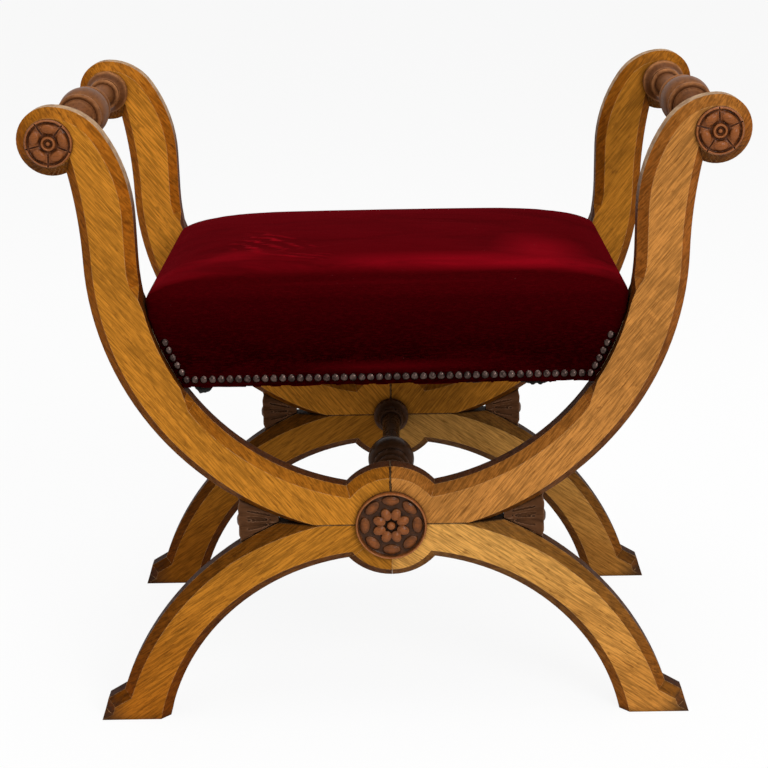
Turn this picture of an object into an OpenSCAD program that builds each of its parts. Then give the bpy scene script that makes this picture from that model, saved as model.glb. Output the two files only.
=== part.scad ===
// Curule bench: two oak X frames of sawn members, three turned rails and a velvet seat.
// X is the width, -Y the front and Z is up; the origin lies on the floor under the middle.

/* [Frames] */
// Thickness of an X frame, front face to back face
frame_t = 35; // [30:1:42]
// Clear distance between the two frames, which is the length of the turned rails
rail_len = 301; // [260:1:340]
// Height of the glue line between arms and legs
joint_z = 221; // [200:1:240]
// Radius of the round boss in the middle of each frame
boss_r = 60; // [54:1:66]
// Width and depth of the chamfer round both faces
chamfer = 9.5; // [6:0.5:11]
// Chamfer of the arm where it runs into the wedge beside the boss
arm_vee = 6; // [4:0.5:9]
// Chamfer of the leg where it runs into the wedge beside the boss
leg_vee = 16; // [10:0.5:18]

/* [Arms] */
// Outer radius of the arm's sweep
arm_r_out = 295.5; // [270:0.5:320]
// Width of the arm across its sweep
arm_w = 52; // [46:1:58]
// How far the arm's outer sweep would pass under the glue line
arm_dip = 16.5; // [14:0.5:19]
// How far the scroll's centre stands outside the arm's outer radius
scroll_out = 21.5; // [18:0.5:25]
// Height of the scroll's centre above the centre of the sweep
scroll_rise = 118.5; // [105:0.5:130]
// Radius of the round scroll end
scroll_r = 33; // [29:0.5:37]
// Radius of the arm's inner edge over the scroll
crest_r = 58; // [52:1:64]
// Radius of the arm's inner edge where it turns out towards the scroll
hip_r = 150; // [130:1:170]
// Radius of the arm's outer edge below the scroll
neck_r = 460; // [400:5:520]
// Height of the seat's side up to which the arm's inner edge is left square
stop_h = 89; // [80:1:100]
// Height over which the inner chamfer runs out above and below the square edge
stop_run = 20; // [12:1:28]

/* [Legs] */
// Radius of the leg's inner arch
arch_r = 235.6; // [215:0.1:255]
// How far the inner arch's centre stands out from the middle
arch_x = 10; // [5:1:15]
// Depth of the leg under the glue line at the top of its arch
arch_drop = 37.4; // [33:0.1:42]
// Radius of the leg's outer edge
leg_r = 325.4; // [300:0.1:350]
// How far the outer edge's centre stands across the middle
leg_x = 20; // [15:1:25]
// How far the leg's outer edge would rise over the glue line
leg_rise = 29.4; // [25:0.1:33]
// Height of the ankle, where the toe starts
ankle_z = 32; // [28:1:36]
// Height of the toe's outer corner
toe_h = 21; // [17:1:24]
// How far the toe's upper corner stands out from the ankle
toe_out = 18.5; // [14:0.5:23]
// How far the toe's foot stands out past its upper corner
toe_flare = 6.5; // [4:0.5:9]
// Height over which the toe's chamfer fades out to the floor
toe_stop = 9; // [6:0.5:12]

/* [Joinery] */
// Open width of a glue line between two frame members
glue_gap = 0.2; // [0.1:0.05:0.4]
// Radial clearance of a tenon, spigot, dowel or pin in its hole
fit = 0.1; // [0.05:0.05:0.2]
// Radius of the turned tenons and of the holes' pins
tenon_r = 11; // [9:0.5:13]
// Length of a turned tenon
tenon_len = 30; // [26:0.5:30.5]
// Length of the spigot behind a rosette
spigot_len = 4; // [2:0.5:4.3]
// Radius of the dowels
dowel_r = 4; // [3:0.5:5]
// Length of the dowels across a glue line
dowel_len = 36; // [28:1:38]
// Distance of the upright dowels from the middle
dowel_x = 64; // [58:1:68]
// Distance of the level dowels from the glue line
dowel_rise = 32; // [28:1:36]

/* [Turned rails] */
// Largest radius of the arm rails, at the middle bead
rail_bead_r = 26; // [23:0.5:29]
// Radius of the arm rails' end collars
rail_collar_r = 23; // [20:0.5:26]
// Radius of the arm rails' necks
rail_neck_r = 11.8; // [10:0.1:14]
// Largest radius of the stretcher, at the middle bead
bar_bead_r = 26; // [23:0.5:29]
// Radius of the stretcher's end collars
bar_collar_r = 20.7; // [18:0.1:24]
// Radius of the stretcher's necks
bar_neck_r = 10.2; // [9:0.1:12]

/* [Rosettes] */
// Radius of the rosette on the boss
boss_rose_r = 36.5; // [32:0.5:40]
// How far the boss rosette's rim stands proud
boss_rose_h = 7; // [5:0.5:9]
// Number of petals of the boss rosette
boss_petals = 8; // [6:1:10]
// Radius of the rosette on a scroll
scroll_rose_r = 23; // [20:0.5:26]
// How far the scroll rosette's rim stands proud
scroll_rose_h = 6; // [4:0.5:8]
// Number of petals of the scroll rosette
scroll_petals = 6; // [5:1:8]
// Width of a rosette's rim
rose_rim = 2.6; // [1.5:0.1:4]

/* [Leaf brackets] */
// Thickness of a bracket's core
leaf_t = 13; // [9:1:15]
// Where the bracket's outer tips end, from the middle of the bench
leaf_end = 157; // [150:1:165]
// Radius of the ball at the middle lobe's tip
leaf_ball_r = 9.5; // [7:0.5:11]
// Radius of the lobes at their outer ends
leaf_lobe_r = 11; // [8:0.5:12.5]

/* [Seat] */
// How far the velvet's lower edge hangs below the centre of the arms' sweep
seat_drop = 130; // [120:1:140]
// How far the seat's shoulder lies below the centre of the arms' sweep
shoulder_drop = 40; // [34:1:46]
// Height of the crown above the shoulder
seat_crown = 27; // [21:1:36]
// How far the seat's front stands back from the frame's face
seat_back_set = 9.5; // [7:0.5:12]
// Thickness of the velvet with its calico
velvet_t = 2.2; // [1.8:0.1:2.8]
// Clearance between soft pieces and their neighbours
soft_gap = 0.3; // [0.2:0.05:0.4]
// Clearance between the velvet's sides and the arms
side_gap = 0.8; // [0.5:0.1:1.2]
// Thickness of the front and back seat rails
seat_rail_t = 20; // [17:1:23]
// Height of the seat rails
seat_rail_h = 58.5; // [50:0.5:64]
// Thickness of the side seat rails at their lower edge
side_rail_t = 20; // [17:1:23]
// Length of a corner block along each rail
block_leg = 42; // [36:1:48]
// Height of a corner block
block_h = 38; // [30:1:44]

/* [Upholstery] */
// Width of the webbing
web_w = 50; // [44:1:56]
// Thickness of the webbing
web_t = 1.4; // [1:0.1:1.6]
// Webs from side to side
web_long_count = 4; // [3:1:4]
// Webs from front to back
web_cross_count = 6; // [4:1:6]
// Thickness of the hessian over the webbing
hessian_t = 1; // [0.8:0.1:1.4]
// Thickness of the black cloth under the seat
cloth_t = 0.8; // [0.6:0.1:1]
// Radius of a cover nail's head
nail_r = 4.1; // [3.6:0.1:4.2]
// Height of a cover nail's domed head
nail_h = 2.4; // [1.8:0.1:3]
// Distance from one cover nail to the next
nail_pitch = 8.75; // [8.5:0.05:10]
// Length of a cover nail's shank
nail_len = 11; // [9:1:13]
// Height of the nail row above the velvet's lower edge
nail_rise = 7; // [5:0.5:9]
// Cover nails that climb each arm from the corner
nail_climb = 5; // [3:1:6]
// Radius of a tack's head
tack_r = 2.6; // [2:0.1:3]
// Length of a tack's shank
tack_len = 9; // [7:1:11]
// Distance from one tack to the next under the seat
tack_pitch = 38; // [30:1:50]
// Radius of a corner block screw's shank
screw_r = 2.2; // [1.8:0.1:2.6]
// Length of a corner block screw
screw_len = 34; // [30:1:38]

/* [Hidden] */

oak = "#b87a30";
walnut = "#6b3319";
dark_wood = "#35190f";
beech = "#c8a878";
crimson = "#6e0714";
jute = "#9c7b4d";
brass = "#6d5a41";
iron = "#3a3a3d";
black_cloth = "#15120f";

// One overrun serves every cut
over = 1;
$fn = 64;

// Derived places of the frame
arm_r_in = arm_r_out - arm_w;
arc_z = joint_z - arm_dip + arm_r_out;
scroll_x = arm_r_out + scroll_out;
scroll_z = arc_z + scroll_rise;
front_y = -rail_len / 2 - frame_t;
hub = [0, arc_z];
boss = [0, joint_z];
scroll = [scroll_x, scroll_z];
crest = [scroll_x, scroll_z + scroll_r - crest_r];
hip_x = arm_r_in + hip_r;
hip = [hip_x, crest[1] - sqrt(pow(hip_r - crest_r, 2) - pow(hip_x - scroll_x, 2))];
neck = [arm_r_out + neck_r, arc_z];
arch = [arch_x, joint_z - arch_drop - arch_r];
back_edge = [-leg_x, joint_z + leg_rise - leg_r];
ankle = [-leg_x + sqrt(pow(leg_r, 2) - pow(ankle_z - back_edge[1], 2)), ankle_z];
toe_top = [ankle[0] + toe_out, toe_h];
toe = [toe_top[0] + toe_flare, 0];
half_glue = glue_gap / 2;
bore_r = tenon_r + fit;
dowel_bore_r = dowel_r + fit;

// Shares of the webs' lap, the nails' shanks and the tacks' shanks
web_lap_share = 0.7;
nail_shank_share = 0.2;
tack_shank_share = 0.25;
// Share of an edge's run over which the wedge's chamfer fades to the full one
vee_run_share = 0.35;
// Segments of each curve of the outlines
sweep_n = 28;
turn_n = 8;
round_n = 24;

// Derived places of the seat
seat_z = arc_z - seat_drop;
shoulder_z = arc_z - shoulder_drop;
seat_half_d = rail_len / 2 + frame_t - seat_back_set;
rail_y = seat_half_d - velvet_t - soft_gap;
rail_z = seat_z + cloth_t + soft_gap * 2;
rail_top = rail_z + seat_rail_h;
skirt_gap = side_gap + velvet_t + soft_gap;
side_in_x = reach(rail_z) - skirt_gap - side_rail_t;
side_half_l = rail_y - seat_rail_t;
web_z = rail_top + fit;
cross_z = web_z + web_t + fit;
tack_t = web_t / 2;
hessian_z = cross_z + web_t + tack_t + fit * 2;
stuffing_z = hessian_z + hessian_t + soft_gap;
web_lap = seat_rail_t * web_lap_share;
nail_z = seat_z + nail_rise;
nail_arc_r = arm_r_in - nail_rise;
nail_end_x = sqrt(pow(nail_arc_r, 2) - pow(arc_z - nail_z, 2));
nail_shank_r = nail_r * nail_shank_share;
nail_count = round(nail_end_x * 2 / nail_pitch);
side_nail_run = side_half_l - nail_r * 2;
side_nail_count = floor(side_nail_run * 2 / nail_pitch);
tack_shank_r = tack_r * tack_shank_share;

// Half width of the seat's space between the arms at a height
function reach(z) = sqrt(pow(arm_r_in, 2) - pow(max(0, arc_z - z), 2));

// Bearing of a point from a centre, in degrees
function bearing(c, p) = atan2(p[1] - c[1], p[0] - c[0]);

// Points along an arc
function arc(c, r, from, to, n) =
    [for (i = [0 : n]) let (a = from + (to - from) * i / n) c + r * [cos(a), sin(a)]];

// Where two circles meet, on the left or right of the line between their centres
function meet(p, r, q, s, side) =
    let (d = norm(q - p), a = (d * d + r * r - s * s) / (2 * d), h = sqrt(r * r - a * a), u = (q - p) / d)
    p + a * u + side * h * [-u[1], u[0]];

// Unit normal to the left of a direction
function left_of(p, q) = [p[1] - q[1], q[0] - p[0]] / norm(q - p);

// Where two lines meet, each given by a point and a direction
function cross_at(p, u, q, v) =
    let (t = ((q[0] - p[0]) * v[1] - (q[1] - p[1]) * v[0]) / (u[0] * v[1] - u[1] * v[0])) p + t * u;

// Where a line from outside first meets a circle
function enter(p, u, c, r) =
    let (e = u / norm(u), m = (p - c) * e) p - e * (sqrt(m * m - (p - c) * (p - c) + r * r) + m);

// Share of the inner chamfer at a bearing from the sweep's centre: the chamfer stops beside the seat
function stop_share(a) =
    let (z = arc_z + arm_r_in * sin(a))
    min(1, max(0, z - seat_z - stop_h, seat_z - z) / stop_run);

// Outline of an arm, full at k 0 and drawn in by its chamfers at k 1
function arm_outline(k) =
    let (c = k * chamfer,
         r0 = arm_r_out - k * arm_vee,
         drop = arc_z - joint_z - half_glue,
         a0 = -asin(drop / r0),
         neck_p = meet(neck, neck_r + c, scroll, scroll_r - c, 1),
         turn = bearing(hip, crest),
         notch = meet(hub, arm_r_in + c, boss, boss_r - c, 1),
         a1 = bearing(hub, notch))
    concat(
        [boss + [half_glue, half_glue]],
        [for (i = [0 : sweep_n])
            let (t = i / sweep_n, fade = max(0, 1 - t / vee_run_share), a = a0 * (1 - t))
            hub + (arm_r_out - c - k * (arm_vee - chamfer) * fade) * [cos(a), sin(a)]],
        [for (i = [1 : turn_n])
            let (a = 180 + (bearing(neck, neck_p) - 180) * i / turn_n)
            neck + (neck_r + c) * [cos(a), sin(a)]],
        [for (i = [1 : round_n])
            let (from = bearing(scroll, neck_p), a = from + (90 - from) * i / round_n)
            scroll + (scroll_r - c) * [cos(a), sin(a)]],
        [for (i = [1 : turn_n])
            let (a = 90 + (turn - 90) * i / turn_n)
            crest + (crest_r - c) * [cos(a), sin(a)]],
        [for (i = [1 : turn_n])
            let (a = turn + (180 - turn) * i / turn_n)
            hip + (hip_r - c) * [cos(a), sin(a)]],
        [for (i = [0 : sweep_n])
            let (a = a1 * i / sweep_n) hub + (arm_r_in + c * stop_share(a)) * [cos(a), sin(a)]],
        [for (i = [1 : turn_n])
            let (from = bearing(boss, notch), to = acos(half_glue / (boss_r - c)))
            let (a = from + (to - from) * i / turn_n)
            boss + (boss_r - c) * [cos(a), sin(a)]]
    );

// Outline of a leg, full at k 0 and drawn in by its chamfers at k 1
function leg_outline(k) =
    let (c = k * chamfer,
         notch = meet(arch, arch_r + c, boss, boss_r - c, -1),
         side_in = left_of(toe, toe_top) * c,
         top_in = left_of(toe_top, ankle) * c,
         stop = toe + (toe_top - toe) * toe_stop / toe_h,
         corner = cross_at(toe + side_in, toe_top - toe, toe_top + top_in, ankle - toe_top),
         shin = c == 0 ? ankle : enter(corner, ankle - toe_top, back_edge, leg_r - c),
         r1 = leg_r - k * leg_vee,
         a0 = bearing(back_edge, shin),
         a1 = asin((joint_z - half_glue - back_edge[1]) / r1),
         under = acos(half_glue / (boss_r - c)))
    concat(
        arc(boss, boss_r - c, -under, bearing(boss, notch), turn_n),
        [for (i = [1 : sweep_n])
            let (from = bearing(arch, notch), to = asin(-arch[1] / (arch_r + c)))
            let (a = from + (to - from) * i / sweep_n)
            arch + (arch_r + c) * [cos(a), sin(a)]],
        [toe, stop + side_in, corner],
        [for (i = [0 : sweep_n])
            let (t = i / sweep_n, fade = max(0, 1 - (1 - t) / vee_run_share), a = a0 + (a1 - a0) * t)
            back_edge + (leg_r - c - k * (leg_vee - chamfer) * fade) * [cos(a), sin(a)]],
        [boss + [half_glue, -half_glue]]
    );

// Closed skin over a stack of rings with the same number of points
module loft(rings) {
    n = len(rings[0]);
    last = len(rings) - 1;
    polyhedron(
        points = [for (ring = rings) each ring],
        faces = concat(
            [[for (i = [0 : n - 1]) i]],
            [for (j = [0 : last - 1], i = [0 : n - 1]) [j * n + i, (j + 1) * n + i, j * n + (i + 1) % n]],
            [for (j = [0 : last - 1], i = [0 : n - 1])
                [j * n + (i + 1) % n, (j + 1) * n + i, (j + 1) * n + (i + 1) % n]],
            [[for (i = [n - 1 : -1 : 0]) last * n + i]]
        ),
        convexity = 6
    );
}

// Triangles that fill a member's outline, like the rungs of a ladder between its two long sides. The
// first side ends at the index last. The boss's centre is joined to every corner of the boss, up to
// the notch, and from there each step gives the shorter rung.
function ribbon(p, last, notch) =
    [for (s = [0, len(p) - 1]; s[0] < last || s[1] > last + 1; s = ribbon_step(p, last, notch, s))
        ribbon_step(p, last, notch, s)[0] > s[0] ? [s[0], s[0] + 1, s[1]] : [s[0], s[1] - 1, s[1]]];
function ribbon_step(p, last, notch, s) =
    let (arm = notch > last,
         on_boss = arm ? s[1] > notch : s[0] < notch,
         at_centre = arm ? s[0] == 0 : s[1] == len(p) - 1,
         shorter = norm(p[min(s[0] + 1, last)] - p[s[1]]) <= norm(p[s[0]] - p[s[1] - 1]),
         up = on_boss ? !arm : at_centre ? arm : s[1] == last + 1 || (s[0] < last && shorter))
    up ? [s[0] + 1, s[1]] : [s[0], s[1] - 1];

// Two triangles over a four-cornered patch, split along its shorter diagonal
function split(p, a, b, c, d) =
    norm(p[b] - p[c]) < norm(p[a] - p[d]) ? [[a, b, c], [b, d, c]] : [[a, b, d], [a, d, c]];

// A sawn member with chamfered faces, from its full and its drawn-in outline
module member(full, inset, last, notch) {
    n = len(full);
    fill = ribbon(inset, last, notch);
    levels = [[inset, 0], [full, chamfer], [full, frame_t - chamfer], [inset, frame_t]];
    points = [for (level = levels, p = level[0]) [p[0], level[1], p[1]]];
    polyhedron(
        points = points,
        faces = concat(
            [for (f = fill) [f[2], f[1], f[0]]],
            [for (j = [0 : 2], i = [0 : n - 1]) let (a = j * n + i, b = j * n + (i + 1) % n)
                each split(points, a, b, a + n, b + n)],
            [for (f = fill) [for (i = f) 3 * n + i]]
        ),
        convexity = 6
    );
}

module front_place() translate([0, front_y, 0]) children();
module back_place() mirror([0, 1, 0]) front_place() children();
module left_side() mirror([1, 0, 0]) children();

// A pin along Y that starts at a depth
module pin_y(x, z, y, r, l) translate([x, y, z]) rotate([-90, 0, 0]) cylinder(r = r, h = l);

// Upright and level dowels of one half of a frame, at mid thickness
module upright_dowel(r, l) translate([dowel_x, frame_t / 2, joint_z - l / 2]) cylinder(r = r, h = l);
module level_dowel(up, r, l)
    translate([-l / 2, frame_t / 2, joint_z + up * dowel_rise]) rotate([0, 90, 0]) cylinder(r = r, h = l);

// Dowels between the front seat rail and the right arm, square to the arm's edge
rail_dowel_shares = [0.28, 0.72];
rail_dowel_y = seat_half_d - velvet_t - soft_gap - seat_rail_t / 2;
module rail_end_dowels(r, l) {
    for (share = rail_dowel_shares) {
        z = rail_z + seat_rail_h * share;
        lean = asin((arc_z - z) / arm_r_in);
        translate([0, -rail_dowel_y, arc_z]) rotate([0, lean, 0]) translate([arm_r_in - l / 2, 0, 0])
            rotate([0, 90, 0]) cylinder(r = r, h = l);
    }
}

// Arm, from the outline's first side, which goes round the outside of the sweep and the scroll
arm_last = sweep_n + turn_n + round_n + 1;
module right_arm() {
    difference() {
        member(arm_outline(0), arm_outline(1), arm_last, arm_last + turn_n * 2 + sweep_n + 1);
        pin_y(0, joint_z, -over, bore_r, frame_t + over * 2);
        pin_y(scroll_x, scroll_z, -over, bore_r, frame_t + over * 2);
        upright_dowel(dowel_bore_r, dowel_len + over);
        level_dowel(1, dowel_bore_r, dowel_len + over);
        translate([0, -front_y, 0]) rail_end_dowels(dowel_bore_r, dowel_len + over);
    }
}

// Leg
module right_leg() {
    difference() {
        member(leg_outline(0), leg_outline(1), sweep_n + turn_n, turn_n);
        pin_y(0, joint_z, -over, bore_r, frame_t + over * 2);
        upright_dowel(dowel_bore_r, dowel_len + over);
        level_dowel(-1, dowel_bore_r, dowel_len + over);
    }
}

// Sector of the boss that was pieced in with a block of its own
patch_angle = bearing(boss, meet(arch, arch_r, boss, boss_r, -1));
module patch_zone(gap) {
    far = boss_r * 2;
    edge = gap * [-sin(patch_angle), cos(patch_angle)];
    translate([0, -over, 0]) rotate([90, 0, 0]) mirror([0, 0, 1]) linear_extrude(frame_t + over * 2)
        polygon([boss + edge, boss + [0, -far], boss + far * [cos(patch_angle), sin(patch_angle) * 2],
            boss + far * [cos(patch_angle), sin(patch_angle)] + edge]);
}

module patched_leg() {
    difference() {
        right_leg();
        patch_zone(half_glue);
    }
}

module boss_patch() {
    intersection() {
        right_leg();
        patch_zone(-half_glue);
    }
}

// Frame dowels: two upright and two level ones in each frame
module frame_dowels() {
    color(beech) {
        upright_dowel(dowel_r, dowel_len);
        left_side() upright_dowel(dowel_r, dowel_len);
        for (up = [-1, 1]) level_dowel(up, dowel_r, dowel_len);
    }
}

// Half-round bead of a turning between two stations, from a low to a high radius
function bead(u0, u1, low, high, n) =
    [for (i = [0 : n])
        let (a = 180 * i / n)
        [low + (high - low) * sin(a), u0 + (u1 - u0) * (1 - cos(a)) / 2]];

// How far below a bead's middle its upper half may start, as a share of the bead
half_slack_share = 0.01;

// Hollow of a turning between two stations, steep at its larger end
function cove(u0, u1, r0, r1, n) =
    [for (i = [0 : n]) let (t = i / n, s = r1 < r0 ? 1 - cos(90 * (1 - t)) : 1 - cos(90 * t))
        [min(r0, r1) + abs(r1 - r0) * s, u0 + (u1 - u0) * t]];

// A turning about Y from half its profile, alike at both ends, with a tenon at each
module turning(half) {
    half_len = rail_len / 2;
    tip = half_len + tenon_len;
    mirrored = [for (i = [len(half) - 1 : -1 : 1]) [half[i][0], -half[i][1]]];
    rotate([-90, 0, 0]) rotate_extrude($fn = 96)
        polygon(concat([[0, -tip], [tenon_r, -tip], [tenon_r, -half_len]], mirrored, half,
            [[tenon_r, half_len], [tenon_r, tip], [0, tip]]));
}

// Stations of the arm rail's turning as shares of half its length, and of its radii
rail_bead_share = 0.137;
rail_groove_share = 0.16;
rail_ring_share = 0.215;
rail_step_share = 0.24;
rail_neck_share = 0.345;
rail_waist_share = 0.58;
rail_flare_share = 0.81;
rail_band_share = 0.855;
rail_cove_share = 0.945;
rail_groove_r_share = 0.77;
rail_ring_r_share = 0.91;
rail_step_r_share = 0.72;
rail_band_r_share = 0.74;
rail_waist_r_share = 0.96;
rail_flare_r_share = 1.06;
module arm_rail() {
    h = rail_len / 2;
    groove_r = rail_bead_r * rail_groove_r_share;
    step_r = rail_bead_r * rail_step_r_share;
    band_r = rail_collar_r * rail_band_r_share;
    full_bead = bead(-h * rail_bead_share, h * rail_bead_share, groove_r, rail_bead_r, 16);
    half_bead = [for (p = full_bead) if (p[1] > -h * rail_bead_share * half_slack_share) p];
    color(walnut) turning(concat(
        half_bead,
        bead(h * rail_groove_share, h * rail_ring_share, groove_r, rail_bead_r * rail_ring_r_share, 8),
        [[step_r, h * rail_ring_share]],
        cove(h * rail_step_share, h * rail_neck_share, step_r, rail_neck_r, 6),
        [[rail_neck_r * rail_waist_r_share, h * rail_waist_share]],
        [[rail_neck_r * rail_flare_r_share, h * rail_flare_share]],
        bead(h * rail_flare_share, h * rail_band_share, band_r * rail_groove_r_share, band_r, 6),
        cove(h * rail_band_share, h * rail_cove_share, band_r, rail_collar_r, 6),
        [[rail_collar_r, h]]
    ));
}

// Stations of the stretcher's turning, as the arm rail's
bar_bead_share = 0.11;
bar_ring_shares = [[0.125, 0.175, 0.79], [0.19, 0.232, 0.66], [0.246, 0.285, 0.56]];
bar_groove_share = 0.86;
bar_neck_share = 0.38;
bar_waist_share = 0.62;
bar_flare_share = 0.84;
bar_band_share = 0.88;
bar_cove_share = 0.945;
bar_band_r_share = 0.68;
bar_waist_r_share = 0.97;
bar_flare_r_share = 1.08;
module stretcher() {
    h = rail_len / 2;
    band_r = bar_collar_r * bar_band_r_share;
    low_r = bar_bead_r * bar_ring_shares[0][2] * bar_groove_share;
    full_bead = bead(-h * bar_bead_share, h * bar_bead_share, low_r, bar_bead_r, 16);
    half_bead = [for (p = full_bead) if (p[1] > -h * bar_bead_share * half_slack_share) p];
    last = bar_ring_shares[2];
    color(dark_wood) turning(concat(
        half_bead,
        [for (s = bar_ring_shares)
            each bead(h * s[0], h * s[1], bar_bead_r * s[2] * bar_groove_share, bar_bead_r * s[2], 6)],
        cove(h * last[1], h * bar_neck_share, bar_bead_r * last[2] * bar_groove_share, bar_neck_r, 5),
        [[bar_neck_r * bar_waist_r_share, h * bar_waist_share]],
        [[bar_neck_r * bar_flare_r_share, h * bar_flare_share]],
        bead(h * bar_flare_share, h * bar_band_share, band_r * bar_groove_share, band_r, 6),
        cove(h * bar_band_share, h * bar_cove_share, band_r, bar_collar_r, 5),
        [[bar_collar_r, h]]
    ));
}

// Carved rosette: a turned dish with a rim, an outer ring of lobes, petals and a button
rose_field_share = 0.42;
rose_lobe_ring_share = 0.74;
rose_lobe_share = 0.19;
rose_petal_ring_share = 0.4;
rose_petal_share = 0.155;
rose_button_share = 0.16;
rose_slope_share = 1.4;
rose_dish_share = 1.45;
module rosette(r, h, petals) {
    field = h * rose_field_share;
    color(walnut) rotate([90, 0, 0]) {
        difference() {
            union() {
                rotate_extrude() polygon([[0, 0], [r, 0], [r, h - rose_rim / 2], [r - rose_rim / 2, h],
                    [r - rose_rim, h - rose_rim / 2], [r - rose_rim * rose_slope_share, field],
                    [0, field]]);
                for (i = [0 : petals - 1]) rotate(360 * i / petals) {
                    translate([0, r * rose_lobe_ring_share, field / 2])
                        sphere(r = r * rose_lobe_share, $fn = 32);
                    translate([0, r * rose_petal_ring_share, field])
                        sphere(r = r * rose_petal_share, $fn = 32);
                }
                translate([0, 0, field]) sphere(r = r * rose_button_share, $fn = 32);
            }
            for (i = [0 : petals - 1]) rotate(360 * i / petals)
                translate([0, r * rose_petal_ring_share, field + r * rose_petal_share * rose_dish_share])
                    sphere(r = r * rose_petal_share, $fn = 32);
            translate([0, 0, -r]) cylinder(r = r * 2, h = r);
        }
        translate([0, 0, -spigot_len]) cylinder(r = tenon_r, h = spigot_len + field / 2);
    }
}

module boss_rosette() translate([0, 0, joint_z]) rosette(boss_rose_r, boss_rose_h, boss_petals);
module scroll_rosette()
    translate([scroll_x, 0, scroll_z]) rosette(scroll_rose_r, scroll_rose_h, scroll_petals);

// Leaf bracket in the wedge between arm and leg, lobed at its outer end
leaf_start_share = 0.737;
leaf_waist_share = 0.955;
leaf_notch_shares = [0.3, 0.68];
leaf_mid_share = 0.47;
leaf_root_share = 0.66;
leaf_lobe_shares = [0.2, 0.5, 0.8];
leaf_root_r_share = 0.33;
function wedge_low(x) = back_edge[1] + sqrt(pow(leg_r + soft_gap, 2) - pow(x + leg_x, 2));
function wedge_high(x) = arc_z - sqrt(pow(arm_r_out + soft_gap, 2) - pow(x, 2));
function wedge_at(x, share) = [x, wedge_low(x) + (wedge_high(x) - wedge_low(x)) * share];
module leaf() {
    n = 10;
    x0 = leaf_end * leaf_start_share;
    steps = [for (i = [0 : n]) x0 + (leaf_end - x0) * i / n];
    waist = leaf_end * leaf_waist_share;
    root = wedge_at(leaf_end * leaf_root_share, leaf_mid_share);
    mid = wedge_at(waist, leaf_mid_share);
    mid_y = frame_t / 2;
    color(dark_wood) union() {
        translate([0, mid_y + leaf_t / 2, 0]) rotate([90, 0, 0]) linear_extrude(leaf_t)
            polygon(concat([for (x = steps) wedge_at(x, 0)],
                [wedge_at(waist, leaf_notch_shares[0]), wedge_at(waist, leaf_notch_shares[1])],
                [for (i = [n : -1 : 0]) wedge_at(steps[i], 1)]));
        intersection() {
            translate([0, frame_t, 0]) rotate([90, 0, 0]) linear_extrude(frame_t)
                polygon(concat([for (x = steps) wedge_at(x, 0)],
                    [for (i = [n : -1 : 0]) wedge_at(steps[i], 1)]));
            for (s = leaf_lobe_shares) {
                tip = wedge_at(leaf_end, s);
                run = norm(tip - root);
                translate([root[0], mid_y, root[1]]) rotate([0, 90 - bearing(root, tip), 0])
                    cylinder(r1 = leaf_lobe_r * leaf_root_r_share, r2 = leaf_lobe_r, h = run);
            }
        }
        translate([mid[0], mid_y, mid[1]]) sphere(r = leaf_ball_r);
    }
}

// Seat rail across the front, its ends cut to the arms' sweep and doweled to them
module front_seat_board() {
    n = 8;
    levels = [for (i = [0 : n]) rail_z + seat_rail_h * i / n];
    right_end = [for (z = levels) [reach(z) - half_glue, z]];
    left_end = [for (i = [n : -1 : 0]) [-right_end[i][0], right_end[i][1]]];
    translate([0, -rail_y + seat_rail_t, 0]) rotate([90, 0, 0])
        linear_extrude(seat_rail_t) polygon(concat(right_end, left_end));
}

module front_rail() {
    color(beech) difference() {
        front_seat_board();
        rail_end_dowels(dowel_bore_r, dowel_len + over);
        left_side() rail_end_dowels(dowel_bore_r, dowel_len + over);
        side_dowels(dowel_bore_r, dowel_len + over);
        left_side() side_dowels(dowel_bore_r, dowel_len + over);
        block_screws_y(screw_r + fit, screw_len + over);
        left_side() block_screws_y(screw_r + fit, screw_len + over);
        nail_shanks(front_nails, nail_shank_r + fit, over);
        cross_web_tacks(tack_shank_r + fit, over);
        bottom_tacks(tack_shank_r + fit, over);
    }
}

// Side seat rail, its outer face sawn to the sweep of the arms
module right_rail() {
    n = 8;
    levels = [for (i = [0 : n]) rail_z + seat_rail_h * i / n];
    color(beech) difference() {
        translate([0, side_half_l - half_glue, 0]) rotate([90, 0, 0])
            linear_extrude((side_half_l - half_glue) * 2)
                polygon(concat([[side_in_x, rail_top], [side_in_x, rail_z]],
                    [for (z = levels) [reach(z) - skirt_gap, z]]));
        side_dowels(dowel_bore_r, dowel_len + over);
        mirror([0, 1, 0]) side_dowels(dowel_bore_r, dowel_len + over);
        block_screws_x(screw_r + fit, screw_len + over);
        mirror([0, 1, 0]) block_screws_x(screw_r + fit, screw_len + over);
        side_nail_shanks(nail_shank_r + fit, over);
        long_web_tacks(tack_shank_r + fit, over);
        bottom_tacks(tack_shank_r + fit, over);
    }
}

// Dowels between the front rail and the right side rail
module side_dowels(r, l) {
    for (share = rail_dowel_shares)
        pin_y(side_in_x + side_rail_t / 2, rail_z + seat_rail_h * share, -side_half_l - l / 2, r, l);
}

// Corner blocks and their screws, in the front right corner
block_rise = (seat_rail_h - block_h) / 2;
block_share = 0.5;
block_nose_share = 0.125;
screw_head_r = screw_r * 2;
screw_head_share = 0.7;
screw_rise_shares = [0.32, 0.68];
block_x = side_in_x - half_glue;
block_y = -side_half_l + half_glue;
module block_body() {
    translate([0, 0, rail_z + block_rise]) linear_extrude(block_h)
        polygon([[block_x, block_y], [block_x, block_y + block_leg],
            [block_x - block_leg * block_nose_share, block_y + block_leg],
            [block_x - block_leg, block_y + block_leg * block_nose_share],
            [block_x - block_leg, block_y]]);
}

module block_screws_y(r, l) {
    pin_y(block_x - block_leg * block_share, rail_z + block_rise + block_h * screw_rise_shares[0],
        block_y + block_leg * block_share - l, r, l);
}

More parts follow.
